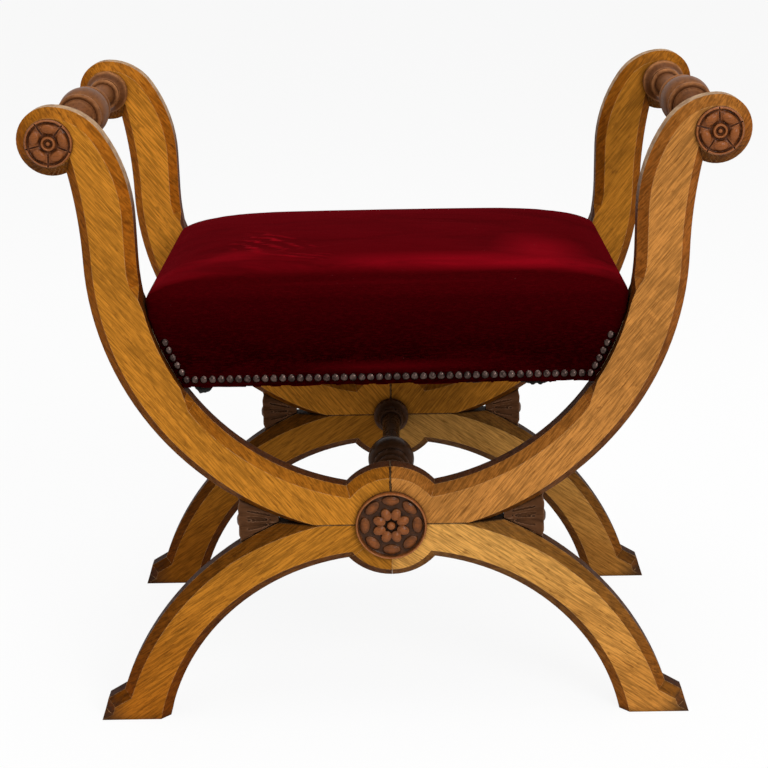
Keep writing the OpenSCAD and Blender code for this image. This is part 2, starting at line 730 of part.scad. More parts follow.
module block_screws_x(r, l) {
    translate([block_x - block_leg * block_share, block_y + block_leg * block_share,
        rail_z + block_rise + block_h * screw_rise_shares[1]]) rotate([0, 90, 0]) cylinder(r = r, h = l);
}

module corner_block() {
    recess = block_leg * (1 - block_share);
    difference() {
        block_body();
        block_screws_y(screw_r + fit, screw_len + over);
        block_screws_x(screw_r + fit, screw_len + over);
        block_screws_y_head(screw_head_r + fit, recess);
        block_screws_x_head(screw_head_r + fit, recess);
    }
}

module block_screws_y_head(r, l) {
    pin_y(block_x - block_leg * block_share, rail_z + block_rise + block_h * screw_rise_shares[0],
        block_y + block_leg * block_share - screw_head_r, r, l);
}

module block_screws_x_head(r, l) {
    translate([block_x - block_leg * block_share + screw_head_r - l, block_y + block_leg * block_share,
        rail_z + block_rise + block_h * screw_rise_shares[1]]) rotate([0, 90, 0]) cylinder(r = r, h = l);
}

module corner_screws() {
    block_screws_y(screw_r, screw_len);
    block_screws_x(screw_r, screw_len);
    block_screws_y_head(screw_head_r, screw_head_r * screw_head_share);
    block_screws_x_head(screw_head_r, screw_head_r * screw_head_share);
}

module four_corners() {
    for (x = [0, 1], y = [0, 1]) mirror([x, 0, 0]) mirror([0, y, 0]) children();
}

// Cover nails: places along the front edge and up the arms, as [x, z]
front_nails = concat(
    [for (i = [0 : nail_count]) [-nail_end_x + nail_end_x * 2 * i / nail_count, nail_z]],
    [for (i = [1 : nail_climb], side = [-1, 1])
        let (a = asin((nail_z - arc_z) / nail_arc_r) + nail_pitch / nail_arc_r * 180 / PI * i)
        [side * nail_arc_r * cos(a), arc_z + nail_arc_r * sin(a)]]
);

module nail_shanks(places, r, extra) {
    for (p = places) pin_y(p[0], p[1], -seat_half_d - extra, r, nail_len + extra * 2);
}

// Cover nail with a domed head, its rim on the origin and its dome towards -Y
nail_crown_share = 0.22;
module cover_nail() {
    dome_r = (nail_r * nail_r + nail_h * nail_h) / (2 * nail_h);
    full = asin(nail_r / dome_r);
    n = 3;
    rotate([90, 0, 0]) rotate_extrude($fn = 24)
        polygon(concat([[0, -nail_len], [nail_shank_r, -nail_len], [nail_shank_r, 0]],
            [for (i = [0 : n]) let (a = full * (1 - (1 - nail_crown_share) * i / n))
                [dome_r * sin(a), dome_r * cos(a) - dome_r + nail_h]],
            [[0, dome_r * cos(full * nail_crown_share) - dome_r + nail_h]]));
}

module front_nail_row() {
    color(brass) for (p = front_nails) translate([p[0], -seat_half_d - fit, p[1]]) cover_nail();
}

// Side nails lean square to the velvet's side
side_lean = asin((arc_z - nail_z) / arm_r_in);
side_face_r = arm_r_in - side_gap;
module at_side_nails() {
    for (i = [0 : side_nail_count])
        translate([0, -side_nail_run + side_nail_run * 2 * i / side_nail_count, arc_z])
            rotate([0, side_lean, 0]) translate([side_face_r + fit, 0, 0]) children();
}

module side_nail_shanks(r, extra) {
    at_side_nails() rotate([0, -90, 0]) translate([0, 0, -extra]) cylinder(r = r, h = nail_len + extra * 2);
}

module side_nail_row() {
    color(brass) at_side_nails() rotate([0, 0, 90]) cover_nail();
}

// Webbing and its tacks
web_long_half = side_in_x + web_lap;
web_cross_half = side_half_l + web_lap;
web_long_step = (side_half_l * 2 - web_w) / web_long_count;
web_cross_step = (side_in_x * 2 - web_w) / web_cross_count;
web_long_places = [for (i = [0 : web_long_count - 1]) (i - (web_long_count - 1) / 2) * web_long_step];
web_cross_places = [for (i = [0 : web_cross_count - 1]) (i - (web_cross_count - 1) / 2) * web_cross_step];
web_tack_shares = [-0.36, 0, 0.36];

module tack(r, extra, headed) {
    translate([0, 0, -tack_len]) cylinder(r = r, h = tack_len + extra, $fn = 16);
    if (headed) translate([0, 0, fit]) cylinder(r = tack_r, h = tack_t, $fn = 16);
}

module long_web_tacks(r, extra, headed = false) {
    for (y = web_long_places, side = [-1, 1], s = web_tack_shares)
        translate([side * (web_long_half - web_lap / 2), y + web_w * s, web_z + web_t])
            tack(r, extra, headed);
}

module cross_web_tacks(r, extra, headed = false) {
    for (x = web_cross_places, side = [-1, 1], s = web_tack_shares)
        translate([x + web_w * s, side * (web_cross_half - web_lap / 2), cross_z + web_t])
            tack(r, extra, headed);
}

module long_webs() {
    color(jute) difference() {
        for (y = web_long_places)
            translate([-web_long_half, y - web_w / 2, web_z]) cube([web_long_half * 2, web_w, web_t]);
        long_web_tacks(tack_shank_r + fit, over);
    }
}

module cross_webs() {
    color(jute) difference() {
        for (x = web_cross_places)
            translate([x - web_w / 2, -web_cross_half, cross_z]) cube([web_w, web_cross_half * 2, web_t]);
        cross_web_tacks(tack_shank_r + fit, over);
    }
}

module web_tacks() {
    color(iron) {
        long_web_tacks(tack_shank_r, fit * 2, true);
        cross_web_tacks(tack_shank_r, fit * 2, true);
    }
}

// Ring of points of a rounded rectangle at a height, counter-clockwise from above
corner_n = 5;
function seat_ring(w, d, r, z) =
    [for (q = [0 : 3], i = [0 : corner_n])
        let (a = 90 * q + 90 * i / corner_n, sx = (q == 0 || q == 3) ? 1 : -1, sy = q < 2 ? 1 : -1)
        [sx * (w - r) + r * cos(a), sy * (d - r) + r * sin(a), z]];

// The seat's outer form, drawn in by a thickness, from a height up to its crown
corner_low_share = 0.04;
corner_high_share = 0.23;
corner_spread_share = 1.6;
corner_full_share = 0.98;
corner_power = 4;
dome_power = 2;
skirt_shares = [0, 0.25, 0.5, 0.75, 1];
dome_shares = [0.99, 0.965, 0.92, 0.85, 0.75, 0.6, 0.42, 0.22, 0.04];
function skirt_ring(z, t) =
    let (s = max(0, (z - seat_z) / (shoulder_z - seat_z)),
         corner = corner_low_share + (corner_high_share - corner_low_share) * pow(s, corner_power))
    seat_ring(reach(z) - side_gap - t, seat_half_d - t, seat_half_d * corner, z);
function dome_ring(share, t) =
    let (w = (reach(shoulder_z) - side_gap - t) * share,
         d = (seat_half_d - t) * share,
         corner = seat_half_d * (corner_high_share + corner_spread_share * (1 - share)))
    seat_ring(w, d, min(d * corner_full_share, corner),
        shoulder_z + (seat_crown - t) * pow(1 - pow(share, dome_power), 1 / dome_power));
function seat_form(z0, t) = concat(
    [for (s = skirt_shares) skirt_ring(z0 + (shoulder_z - z0) * s, t)],
    [for (s = dome_shares) dome_ring(s, t)]
);
function reversed(list) = [for (i = [len(list) - 1 : -1 : 0]) list[i]];

// Velvet cover, open below, cut round the ends of the front and back rails
module velvet() {
    color(crimson) difference() {
        loft(concat(reversed(seat_form(seat_z, velvet_t)), seat_form(seat_z, 0)));
        for (side = [0, 1]) mirror([0, side, 0])
            translate([-arm_r_out, -rail_y - soft_gap / 2, seat_z - over])
                cube([arm_r_out * 2, seat_rail_t + soft_gap, rail_top + soft_gap - seat_z + over]);
        for (side = [0, 1]) mirror([0, side, 0]) nail_shanks(front_nails, nail_shank_r + fit, over);
        for (side = [0, 1]) mirror([side, 0, 0]) side_nail_shanks(nail_shank_r + fit, over);
    }
}

module stuffing_pad() {
    color(jute) loft(seat_form(stuffing_z, velvet_t + soft_gap));
}

module hessian_sheet() {
    half_w = reach(hessian_z) - skirt_gap - soft_gap;
    half_d = rail_y - soft_gap;
    color(jute) translate([-half_w, -half_d, hessian_z]) cube([half_w * 2, half_d * 2, hessian_t]);
}

// Black cloth under the seat, tacked to the underside of the rails
cloth_half_w = reach(seat_z) - skirt_gap - soft_gap;
cloth_half_d = rail_y - soft_gap;
cloth_z = seat_z + soft_gap;
cloth_tack_in = seat_rail_t / 2;
tack_columns = floor((cloth_half_w - seat_rail_t) * 2 / tack_pitch);
tack_rows = floor((cloth_half_d - seat_rail_t) * 2 / tack_pitch);
module at_bottom_tacks() {
    x_run = cloth_half_w - seat_rail_t;
    y_run = cloth_half_d - seat_rail_t * 2;
    for (i = [0 : tack_columns], side = [-1, 1])
        translate([-x_run + x_run * 2 * i / tack_columns, side * (cloth_half_d - cloth_tack_in), cloth_z])
            children();
    for (i = [0 : tack_rows], side = [-1, 1])
        translate([side * (cloth_half_w - cloth_tack_in), -y_run + y_run * 2 * i / tack_rows, cloth_z])
            children();
}

module bottom_tacks(r, extra, headed = false) {
    at_bottom_tacks() mirror([0, 0, 1]) tack(r, extra, headed);
}

module under_cloth() {
    color(black_cloth) difference() {
        translate([-cloth_half_w, -cloth_half_d, cloth_z])
            cube([cloth_half_w * 2, cloth_half_d * 2, cloth_t]);
        bottom_tacks(tack_shank_r + fit, over);
    }
}

// Nodes
module front_left_arm() color(oak) front_place() left_side() right_arm();
module front_right_arm() color(oak) front_place() right_arm();
module back_left_arm() color(oak) back_place() left_side() right_arm();
module back_right_arm() color(oak) back_place() right_arm();
module front_left_leg() color(oak) front_place() left_side() patched_leg();
module front_right_leg() color(oak) front_place() right_leg();
module back_left_leg() color(oak) back_place() left_side() right_leg();
module back_right_leg() color(oak) back_place() right_leg();
module front_boss_patch() color(oak) front_place() left_side() boss_patch();
module front_boss_rosette() front_place() boss_rosette();
module back_boss_rosette() back_place() boss_rosette();
module front_left_scroll_rosette() front_place() left_side() scroll_rosette();
module front_right_scroll_rosette() front_place() scroll_rosette();
module back_left_scroll_rosette() back_place() left_side() scroll_rosette();
module back_right_scroll_rosette() back_place() scroll_rosette();
module front_left_leaf() front_place() left_side() leaf();
module front_right_leaf() front_place() leaf();
module back_left_leaf() back_place() left_side() leaf();
module back_right_leaf() back_place() leaf();
module centre_stretcher() translate([0, 0, joint_z]) stretcher();
module left_arm_rail() translate([-scroll_x, 0, scroll_z]) arm_rail();
module right_arm_rail() translate([scroll_x, 0, scroll_z]) arm_rail();
module front_frame_dowels() front_place() frame_dowels();
module back_frame_dowels() back_place() frame_dowels();
module front_seat_rail() front_rail();
module back_seat_rail() mirror([0, 1, 0]) front_rail();
module left_seat_rail() left_side() right_rail();
module right_seat_rail() right_rail();
module seat_rail_dowels() color(beech) four_corners() rail_end_dowels(dowel_r, dowel_len);
module side_rail_dowels() color(beech) four_corners() side_dowels(dowel_r, dowel_len);
module corner_blocks() color(beech) four_corners() corner_block();
module corner_block_screws() color(iron) four_corners() corner_screws();
module webbing_long() long_webs();
module webbing_cross() cross_webs();
module webbing_tacks() web_tacks();
module hessian() hessian_sheet();
module stuffing() stuffing_pad();
module velvet_cover() velvet();
module bottom_cloth() under_cloth();
module bottom_cloth_tacks() color(iron) bottom_tacks(tack_shank_r, fit * 2, true);
module front_cover_nails() front_nail_row();
module back_cover_nails() mirror([0, 1, 0]) front_nail_row();
module left_cover_nails() left_side() side_nail_row();
module right_cover_nails() side_nail_row();

front_left_arm();
front_right_arm();
back_left_arm();
back_right_arm();
front_left_leg();
front_right_leg();
back_left_leg();
back_right_leg();
front_boss_patch();
front_boss_rosette();
back_boss_rosette();
front_left_scroll_rosette();
front_right_scroll_rosette();
back_left_scroll_rosette();
back_right_scroll_rosette();
front_left_leaf();
front_right_leaf();
back_left_leaf();
back_right_leaf();
centre_stretcher();
left_arm_rail();
right_arm_rail();
front_frame_dowels();
back_frame_dowels();
front_seat_rail();
back_seat_rail();
left_seat_rail();
right_seat_rail();
seat_rail_dowels();
side_rail_dowels();
corner_blocks();
corner_block_screws();
webbing_long();
webbing_cross();
webbing_tacks();
hessian();
stuffing();
velvet_cover();
bottom_cloth();
bottom_cloth_tacks();
front_cover_nails();
back_cover_nails();
left_cover_nails();
right_cover_nails();
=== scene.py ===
"""Curule bench: carving, upholstery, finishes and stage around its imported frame.

Everything is in metres in the frame's own axes: X is the width, -Y the front and Z is up.
"""

import math

import bpy
import numpy as np
from mathutils import Matrix, Vector, noise


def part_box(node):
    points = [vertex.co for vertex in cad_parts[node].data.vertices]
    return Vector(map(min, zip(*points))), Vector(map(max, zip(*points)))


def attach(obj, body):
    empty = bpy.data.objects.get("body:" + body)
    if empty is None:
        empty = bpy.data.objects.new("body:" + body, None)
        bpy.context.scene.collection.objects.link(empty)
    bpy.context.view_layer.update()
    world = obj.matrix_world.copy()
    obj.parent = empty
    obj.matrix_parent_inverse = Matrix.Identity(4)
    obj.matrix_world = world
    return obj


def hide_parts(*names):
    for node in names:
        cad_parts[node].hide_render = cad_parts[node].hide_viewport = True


bl_info = {
    "name": "Curule bench",
    "version": (1, 0, 0),
    "blender": (4, 5, 0),
    "location": "3D View > Sidebar > Bench",
    "description": "Carving, velvet and finishes of an X-frame bench",
    "category": "Object",
}

ROOT = "root"

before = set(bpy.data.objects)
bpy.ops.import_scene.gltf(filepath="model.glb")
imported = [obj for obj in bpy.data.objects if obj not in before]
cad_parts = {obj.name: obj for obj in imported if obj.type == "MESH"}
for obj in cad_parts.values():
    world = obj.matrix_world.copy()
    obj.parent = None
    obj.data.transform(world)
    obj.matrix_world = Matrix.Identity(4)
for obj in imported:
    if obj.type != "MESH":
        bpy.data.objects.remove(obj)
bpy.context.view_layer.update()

LEAVES = ("front_left_leaf", "front_right_leaf", "back_left_leaf", "back_right_leaf")
BOSS_ROSETTES = ("front_boss_rosette", "back_boss_rosette")
SCROLL_ROSETTES = (
    "front_left_scroll_rosette",
    "front_right_scroll_rosette",
    "back_left_scroll_rosette",
    "back_right_scroll_rosette",
)
ARM_RAILS = ("left_arm_rail", "right_arm_rail")
COVER_NAILS = ("front_cover_nails", "back_cover_nails", "left_cover_nails", "right_cover_nails")
SEAT_TIMBER = ("front_seat_rail", "back_seat_rail", "left_seat_rail", "right_seat_rail", "corner_blocks")
DOWELS = ("front_frame_dowels", "back_frame_dowels", "seat_rail_dowels", "side_rail_dowels")
IRONWORK = ("corner_block_screws", "webbing_tacks", "bottom_cloth_tacks")
WEBBING = ("webbing_long", "webbing_cross")


def middle(name):
    """Centre of a node's box."""
    low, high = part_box(name)
    return (low + high) / 2


def extent(name):
    """Size of a node's box."""
    low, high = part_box(name)
    return high - low


# The glue line between arms and legs, the front frame's outer and inner faces, and the right scroll's centre.
JOINT_Z = middle("front_boss_rosette").z
FACE_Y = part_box("front_left_arm")[0].y
ARM_IN = -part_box("front_left_arm")[1].y
SCROLL = middle("front_right_scroll_rosette")

# The seat's box, its nails, and the arms' round sweep that its sides follow with a gap.
SEAT_LOW, SEAT_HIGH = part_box("velvet_cover")
NAIL_Z = SEAT_LOW.z + 0.007
SWEEP_Z, SWEEP_R = 0.5, 0.2435
SIDE_GAP = 0.0008

# Where the seat's sides turn into its crown, the radii of its front and back corners as shares of its half
# depth, the form of its crown, and how many rings and points it is drawn with.
SHOULDER_Z = 0.4605
SHOULDER_OUT = 0.0005
CORNERS = (0.04, 0.36)
LEAST_CORNER = 0.004
SQUARE_POWER, MOST_CORNER, CORNER_SWELL = 12, 0.98, 1.35
CROWN_GAP = 0.0025
CROWN_POWER = 0.92
SIDE_STEPS, CROWN_STEPS, CORNER_STEPS = 16, 15, 10

# How many points a turned disc has round it.
DISC_POINTS = 96


# ---------------------------------------------------------------- Sizes and colours


def length_choice(name, description, default):
    """Length that a user may change."""
    return bpy.props.FloatProperty(name=name, description=description, default=default, unit="LENGTH")


def colour_choice(name, description, default):
    """Colour that a user may change."""
    return bpy.props.FloatVectorProperty(
        name=name, description=description, default=default, subtype="COLOR", size=3
    )


def number_choice(name, description, default, subtype):
    """Angle, power or lens that a user may change."""
    return bpy.props.FloatProperty(name=name, description=description, default=default, subtype=subtype)


class BenchSizes(bpy.types.PropertyGroup):
    """Sizes that a user may change."""

    carve_voxel: length_choice("Carving detail", "Size of the finest carved detail", 0.0005)
    petal_count: bpy.props.IntProperty(
        name="Boss petals", description="Petals in each ring of the boss rosette", default=8, min=5, max=12
    )
    scroll_petal_count: bpy.props.IntProperty(
        name="Scroll petals", description="Petals of the scroll rosettes", default=5, min=4, max=8
    )
    velvet_thickness: length_choice("Velvet thickness", "Thickness of the velvet at its hem", 0.0016)
    velvet_swell: length_choice("Velvet swell", "Farthest that the stuffing pushes the velvet out", 0.004)
    velvet_grid: length_choice("Velvet grid", "Spacing of the velvet's mesh while it is stuffed", 0.005)
    cloth_sag: length_choice("Under cloth sag", "How far the black cloth sags in the middle", 0.006)
    cloth_tear: length_choice("Under cloth tear", "How far the torn corner hangs down", 0.014)


class BenchColours(bpy.types.PropertyGroup):
    """Colours of the finishes."""

    oak: colour_choice("Oak", "Polished oak of the frames", (0.52, 0.198, 0.020))
    oak_pale: colour_choice("Pale oak", "Oak of the right legs", (0.68, 0.335, 0.078))
    oak_tan: colour_choice("Tan oak", "Oak of the front right arm", (0.52, 0.212, 0.046))
    oak_grain: colour_choice("Oak grain", "Dark pores and stain in the grain", (0.10, 0.032, 0.005))
    # This colour is also painted shade in the oak's corners, besides the dark joints.
    grime: colour_choice("Grime", "Old wax and dirt in the corners", (0.028, 0.012, 0.005))
    walnut: colour_choice("Walnut", "Carved walnut of the rosettes", (0.25, 0.076, 0.019))
    rail_wood: colour_choice("Arm rails", "Polished walnut of the arm rails", (0.115, 0.040, 0.013))
    dark_wood: colour_choice("Dark wood", "Dark stained stretcher", (0.040, 0.016, 0.006))
    leaf_wood: colour_choice("Leaf wood", "Brown of the leaf brackets", (0.095, 0.038, 0.015))
    beech: colour_choice("Beech", "Bare beech inside the seat", (0.50, 0.34, 0.18))
    velvet: colour_choice("Velvet", "Crimson velvet pile", (0.050, 0.0004, 0.0014))
    brass: colour_choice("Old brass", "Cover nails", (0.085, 0.056, 0.048))
    jute: colour_choice("Jute", "Webbing, hessian and stuffing", (0.36, 0.24, 0.11))
    black_cloth: colour_choice("Black cloth", "Cloth under the seat", (0.012, 0.010, 0.009))
    iron: colour_choice("Iron", "Screws and tacks", (0.06, 0.06, 0.065))


class BenchStage(bpy.types.PropertyGroup):
    """Camera and light."""

    camera_place: bpy.props.FloatVectorProperty(
        name="Camera place", description="Where the camera stands", subtype="TRANSLATION", size=3,
        default=(0.0119, -1.7102, 0.8819),
    )
    camera_tilt: number_choice("Camera tilt", "How far the camera looks down", math.radians(18.474), "ANGLE")
    camera_turn: number_choice("Camera turn", "How far it looks to the left", math.radians(0.611), "ANGLE")
    camera_roll: number_choice("Camera roll", "How far the camera leans", math.radians(-1.207), "ANGLE")
    lens: number_choice("Lens", "Focal length on a 36 mm sensor", 75.93, "DISTANCE_CAMERA")
    top_power: number_choice("Top light", "Power of the soft light overhead", 34.0, "POWER")
    key_power: number_choice("Key light", "Power of the soft light at the front right", 42.0, "POWER")
    sky: bpy.props.FloatProperty(name="Sky", description="Strength of the even light all round", default=0.42)


# ---------------------------------------------------------------- Nodes of the materials


def new_tree(name):
    """An empty node material and its tree."""
    material = bpy.data.materials.new(name)
    material.use_nodes = True
    material.node_tree.nodes.clear()
    return material, material.node_tree


def new_finish(name):
    """An empty node material, its tree and its texture coordinates."""
    material, tree = new_tree(name)
    return material, tree, node(tree, "TexCoord").outputs


def node(tree, kind, inputs=None, **settings):
    """A node with its settings, whose inputs are values or other nodes' outputs."""
    made = tree.nodes.new("ShaderNode" + kind)
    for key, value in settings.items():
        setattr(made, key, value)
    for key, value in (inputs or {}).items():
        if isinstance(value, bpy.types.NodeSocket):
            tree.links.new(value, made.inputs[key])
        else:
            made.inputs[key].default_value = value
    return made


def axes(vector):
    """X, Y and Z of a vector."""
    return node(vector.id_data, "SeparateXYZ", {0: vector}).outputs


def maths(operation, a, b=0.0):
    """Output of a Math node, in the tree that its values come from."""
    tree = (a if isinstance(a, bpy.types.NodeSocket) else b).id_data
    return node(tree, "Math", {0: a, 1: b}, operation=operation).outputs[0]


def times(first, *others):
    """Product of values."""
    for other in others:
        first = maths("MULTIPLY", first, other)
    return first


def plus(a, b):
    """Sum of two values."""
    return maths("ADD", a, b)


def off(value, centre=0.0):
    """How far a value is from a centre, either way."""
    return maths("ABSOLUTE", maths("SUBTRACT", value, centre))


def fade(value, low, high, to_low=0.0, to_high=1.0):
    """Value mapped from one range to another, and held there."""
    inputs = {"Value": value, "From Min": low, "From Max": high, "To Min": to_low, "To Max": to_high}
    return node(value.id_data, "MapRange", inputs).outputs[0]


def paint(factor, under, over, blend="MIX"):
    """Colour over another where the factor says."""
    inputs = {0: factor, 6: under, 7: over}
    return node(factor.id_data, "Mix", inputs, data_type="RGBA", blend_type=blend).outputs[2]


def streaks(under, *rows):
    """Colour under streaks: each a pattern, the values where it starts and is full, its share, its colour."""
    for pattern, start, full, share, colour in rows:
        under = paint(fade(pattern, start, full, 0.0, share), under, colour)
    return under


def rgb(colour, share=1.0):
    """Colour as four numbers, lighter or darker by a share."""
    return (colour[0] * share, colour[1] * share, colour[2] * share, 1.0)


def mapped(vector, scale=(1.0, 1.0, 1.0), turn=(0.0, 0.0, 0.0), shift=(0.0, 0.0, 0.0)):
    """Vector turned, scaled and shifted by a Mapping node."""
    inputs = {"Vector": vector, "Location": shift, "Rotation": turn, "Scale": scale}
    return node(vector.id_data, "Mapping", inputs).outputs[0]


def grains(vector, scale, detail=2.0, rough=0.5, twist=0.0, stretch=None):
    """Noise from 0 to 1, drawn out along the axes where stretch is small."""
    if stretch:
        vector = mapped(vector, stretch)
    inputs = {"Vector": vector, "Scale": scale, "Detail": detail, "Roughness": rough, "Distortion": twist}
    return node(vector.id_data, "TexNoise", inputs).outputs["Fac"]


def recess(tree, distance, low, high):
    """1 in corners and hollows, 0 in the open."""
    open_share = node(tree, "AmbientOcclusion", {"Distance": distance}, samples=6).outputs["AO"]
    return fade(open_share, low, high, 1.0, 0.0)


def close(tree, **sockets):
    """Principled shader with these sockets, and the material's output."""
    shader = node(tree, "BsdfPrincipled", {key.replace("_", " "): value for key, value in sockets.items()})
    node(tree, "OutputMaterial", {"Surface": shader.outputs[0]})


def bump(height, distance, normal=None):
    """Normal of a bumpy surface."""
    inputs = {"Height": height, "Distance": distance, "Strength": 1.0}
    if normal is not None:
        inputs["Normal"] = normal
    return node(height.id_data, "Bump", inputs).outputs[0]


# ---------------------------------------------------------------- Materials

# What multiplies the oak: painted shade on its chamfers, lighter on those that face up and darker on those
# that face down, and on its side faces; painted shade with a grey sheen on the legs' upward chamfers; and a
# darkening towards the bottom of the legs.
CHAMFER_STAIN = (0.54, 0.38, 0.22, 1.0)
UPPER_STAIN = (0.54, 0.46, 0.32, 1.0)
UNDER_STAIN = (0.17, 0.11, 0.06, 1.0)
EDGE_STAIN = (0.22, 0.15, 0.10, 1.0)
TRODDEN_STAIN = (0.34, 0.32, 0.36, 1.0)
HANDLED_STAIN = (0.78, 0.64, 0.48, 1.0)
HANDLED_Z = (0.190, 0.060)

# Painted highlight on top of the scrolls, black at the toes, and arrises rubbed pale with a painted
# highlight.
BLEACHED_OAK, BLEACHED_Z = (0.50, 0.33, 0.19, 1.0), (0.52, 0.58)
FOOT_DIRT, FOOT_Z, FOOT_X = (0.034, 0.018, 0.012, 1.0), (0.030, 0.010), (0.280, 0.305)
RUBBED_OAK, ARRIS = (0.62, 0.36, 0.16, 1.0), 0.0010

RUST = (0.10, 0.035, 0.012, 1.0)
LINT = (0.20, 0.06, 0.055, 1.0)
VELVET_SHEEN = (1.0, 0.06, 0.08, 1.0)
# Height where the velvet sides' painted shade is deepest, and height of the painted highlight on the puff
# above the nails.
PLAIN_SIDE_Z = 0.400
PUFF_Z = NAIL_Z + 0.011

# Places on the seat's top: the painted sheen along its front edge and in patches at its right and left, and
# the creases' root.
RUBBED_EDGE_Y = -0.126
RIGHT_PATCH, LEFT_PATCH = (0.160, -0.085), (-0.160, -0.096)
CREASE_X, CREASE_Y = -0.010, -0.128


def oak_finish(name, colour, lean, figure, shade, seed):
    """Old waxed oak, its grain leaning by an angle from X, darker on the chamfers by painted shade and in the
    corners by painted shade and grime.
    """
    colours = bpy.context.scene.bench_colours
    material, tree, coords = new_finish(name)
    facing = axes(coords["Normal"])
    spot = axes(coords["Object"])
    plank = mapped(coords["Object"], turn=(0.0, lean, 0.0), shift=(seed, seed, seed))
    broad = grains(plank, 15.0, 3.0, 0.55, 0.6, (0.22, 1.0, 1.0))
    growth = grains(plank, 480.0, 2.0, 0.6, 0.25, (0.05, 0.25, 1.0))
    pores = grains(plank, 620.0, 2.0, 0.65, stretch=(0.09, 0.3, 1.0))
    hatch = grains(plank, 820.0, 1.0, 0.5, stretch=(0.07, 0.25, 1.0))
    spots = grains(plank, 270.0, 2.0, 0.5, stretch=(0.35, 0.6, 1.0))
    blots = grains(plank, 110.0, 3.0, 0.65, 0.5)
    flecks = grains(mapped(plank, (1.0, 1.0, 0.40), (0.0, 0.35, 0.0)), 60.0, 3.0, 0.6, 1.2)

    wood = paint(fade(broad, 0.30, 0.70), rgb(colour, 0.72 * shade), rgb(colour, 1.26 * shade))
    wood = streaks(
        wood,
        (flecks, 0.52, 0.66, figure, rgb(colour, 1.40 * shade)),
        (flecks, 0.46, 0.34, figure * 0.6, rgb(colour, 0.62 * shade)),
        (growth, 0.47, 0.60, 0.56, rgb(colour, 0.46 * shade)),
        (hatch, 0.52, 0.64, 0.45, rgb(colour, 0.45 * shade)),
        (hatch, 0.47, 0.36, 0.34, rgb(colour, 1.50 * shade)),
        (pores, 0.60, 0.70, 0.50, rgb(colours.oak_grain, 1.4 * shade)),
        (spots, 0.64, 0.74, 0.50, rgb(colours.oak_grain, 1.4)),
    )
    wood = edge_stains(wood, facing, spot, blots)
    wood = paint(open_joints(coords["Object"], spot), wood, rgb(colours.grime, 0.6))

    # The legs grow darker towards the bottom.
    handled = plus(spot["Z"], fade(broad, 0.3, 0.7, -0.040, 0.040))
    handled = fade(handled, *HANDLED_Z, 0.0, 0.9)
    wood = paint(handled, wood, HANDLED_STAIN, "MULTIPLY")
    foot = fade(plus(spot["Z"], fade(blots, 0.3, 0.7, -0.010, 0.010)), *FOOT_Z)
    foot = times(foot, fade(off(spot["X"]), *FOOT_X), 0.8)
    wood = paint(foot, wood, FOOT_DIRT)
    # Painted shade in the corners and hollows, in the grime colour.
    dirty = recess(tree, 0.012, 0.25, 0.78)
    wood = paint(times(dirty, 0.90), wood, rgb(colours.grime))

    soft_edge = node(tree, "Bevel", {"Radius": ARRIS}, samples=4).outputs[0]
    true_face = node(tree, "NewGeometry").outputs["Normal"]
    edge = node(tree, "VectorMath", {0: soft_edge, 1: true_face}, operation="DOT_PRODUCT").outputs["Value"]
    # Arrises rubbed pale: wear and a painted highlight.
    rubbed = times(fade(edge, 0.995, 0.955), fade(blots, 0.38, 0.55))
    rubbed = times(rubbed, fade(dirty, 0.3, 0.0), 0.55)
    wood = paint(rubbed, wood, RUBBED_OAK)

    relief = maths("SUBTRACT", times(growth, 0.6), fade(pores, 0.55, 0.7))
    close(
        tree, Base_Color=wood, Roughness=fade(pores, 0.4, 0.7, 0.46, 0.60), Specular_IOR_Level=0.02,
        Normal=bump(relief, 0.00014, soft_edge),
    )
    return material


def edge_stains(wood, facing, spot, blots):
    """Oak with painted shade on its chamfers and side faces, painted shade with a grey sheen on the legs'
    upward chamfers, and a painted highlight on the scroll tops.
    """
    across = off(facing["Y"])
    chamfer = fade(across, 0.97, 0.88)
    side_on = fade(across, 0.45, 0.25)
    # Painted shade on the chamfers, lighter where they face up and darkest where they face down, and on the
    # side faces.
    tint = paint(fade(facing["Z"], 0.15, 0.60), CHAMFER_STAIN, UPPER_STAIN)
    tint = paint(fade(facing["Z"], -0.10, -0.50), tint, UNDER_STAIN)
    stain = times(chamfer, fade(blots, 0.35, 0.65, 0.82, 1.0))
    wood = paint(stain, wood, tint, "MULTIPLY")
    wood = paint(times(side_on, 0.95), wood, EDGE_STAIN, "MULTIPLY")

    below = maths("LESS_THAN", spot["Z"], JOINT_Z)
    patches = fade(blots, 0.30, 0.60, 0.9, 0.55)
    # Painted shade, with a grey cast like a sheen, on the legs' chamfers that face up.
    trodden = times(fade(facing["Z"], 0.10, 0.40), below, chamfer, patches)
    wood = paint(trodden, wood, TRODDEN_STAIN, "MULTIPLY")
    patches = fade(blots, 0.30, 0.65, 0.25, 0.75)
    # Painted highlight on the side faces that face up, high on the scrolls.
    high_up = fade(spot["Z"], *BLEACHED_Z)
    bleached = times(fade(facing["Z"], 0.0, 0.30), high_up, side_on, patches)
    return paint(bleached, wood, BLEACHED_OAK)


def open_joints(place, spot):
    """The crack down the middle above the boss, and the glue line between arms and legs."""
    ragged = fade(grains(place, 300.0, 3.0, 0.7), 0.3, 0.7, -0.0005, 0.0005)
    above = maths("GREATER_THAN", spot["Z"], JOINT_Z)
    crack = times(fade(plus(off(spot["X"]), ragged), 0.0015, 0.0008), above)
    off_joint = plus(off(spot["Z"], JOINT_Z), times(ragged, 0.5))
    return maths("MAXIMUM", crack, times(fade(off_joint, 0.0011, 0.0005), 0.85))


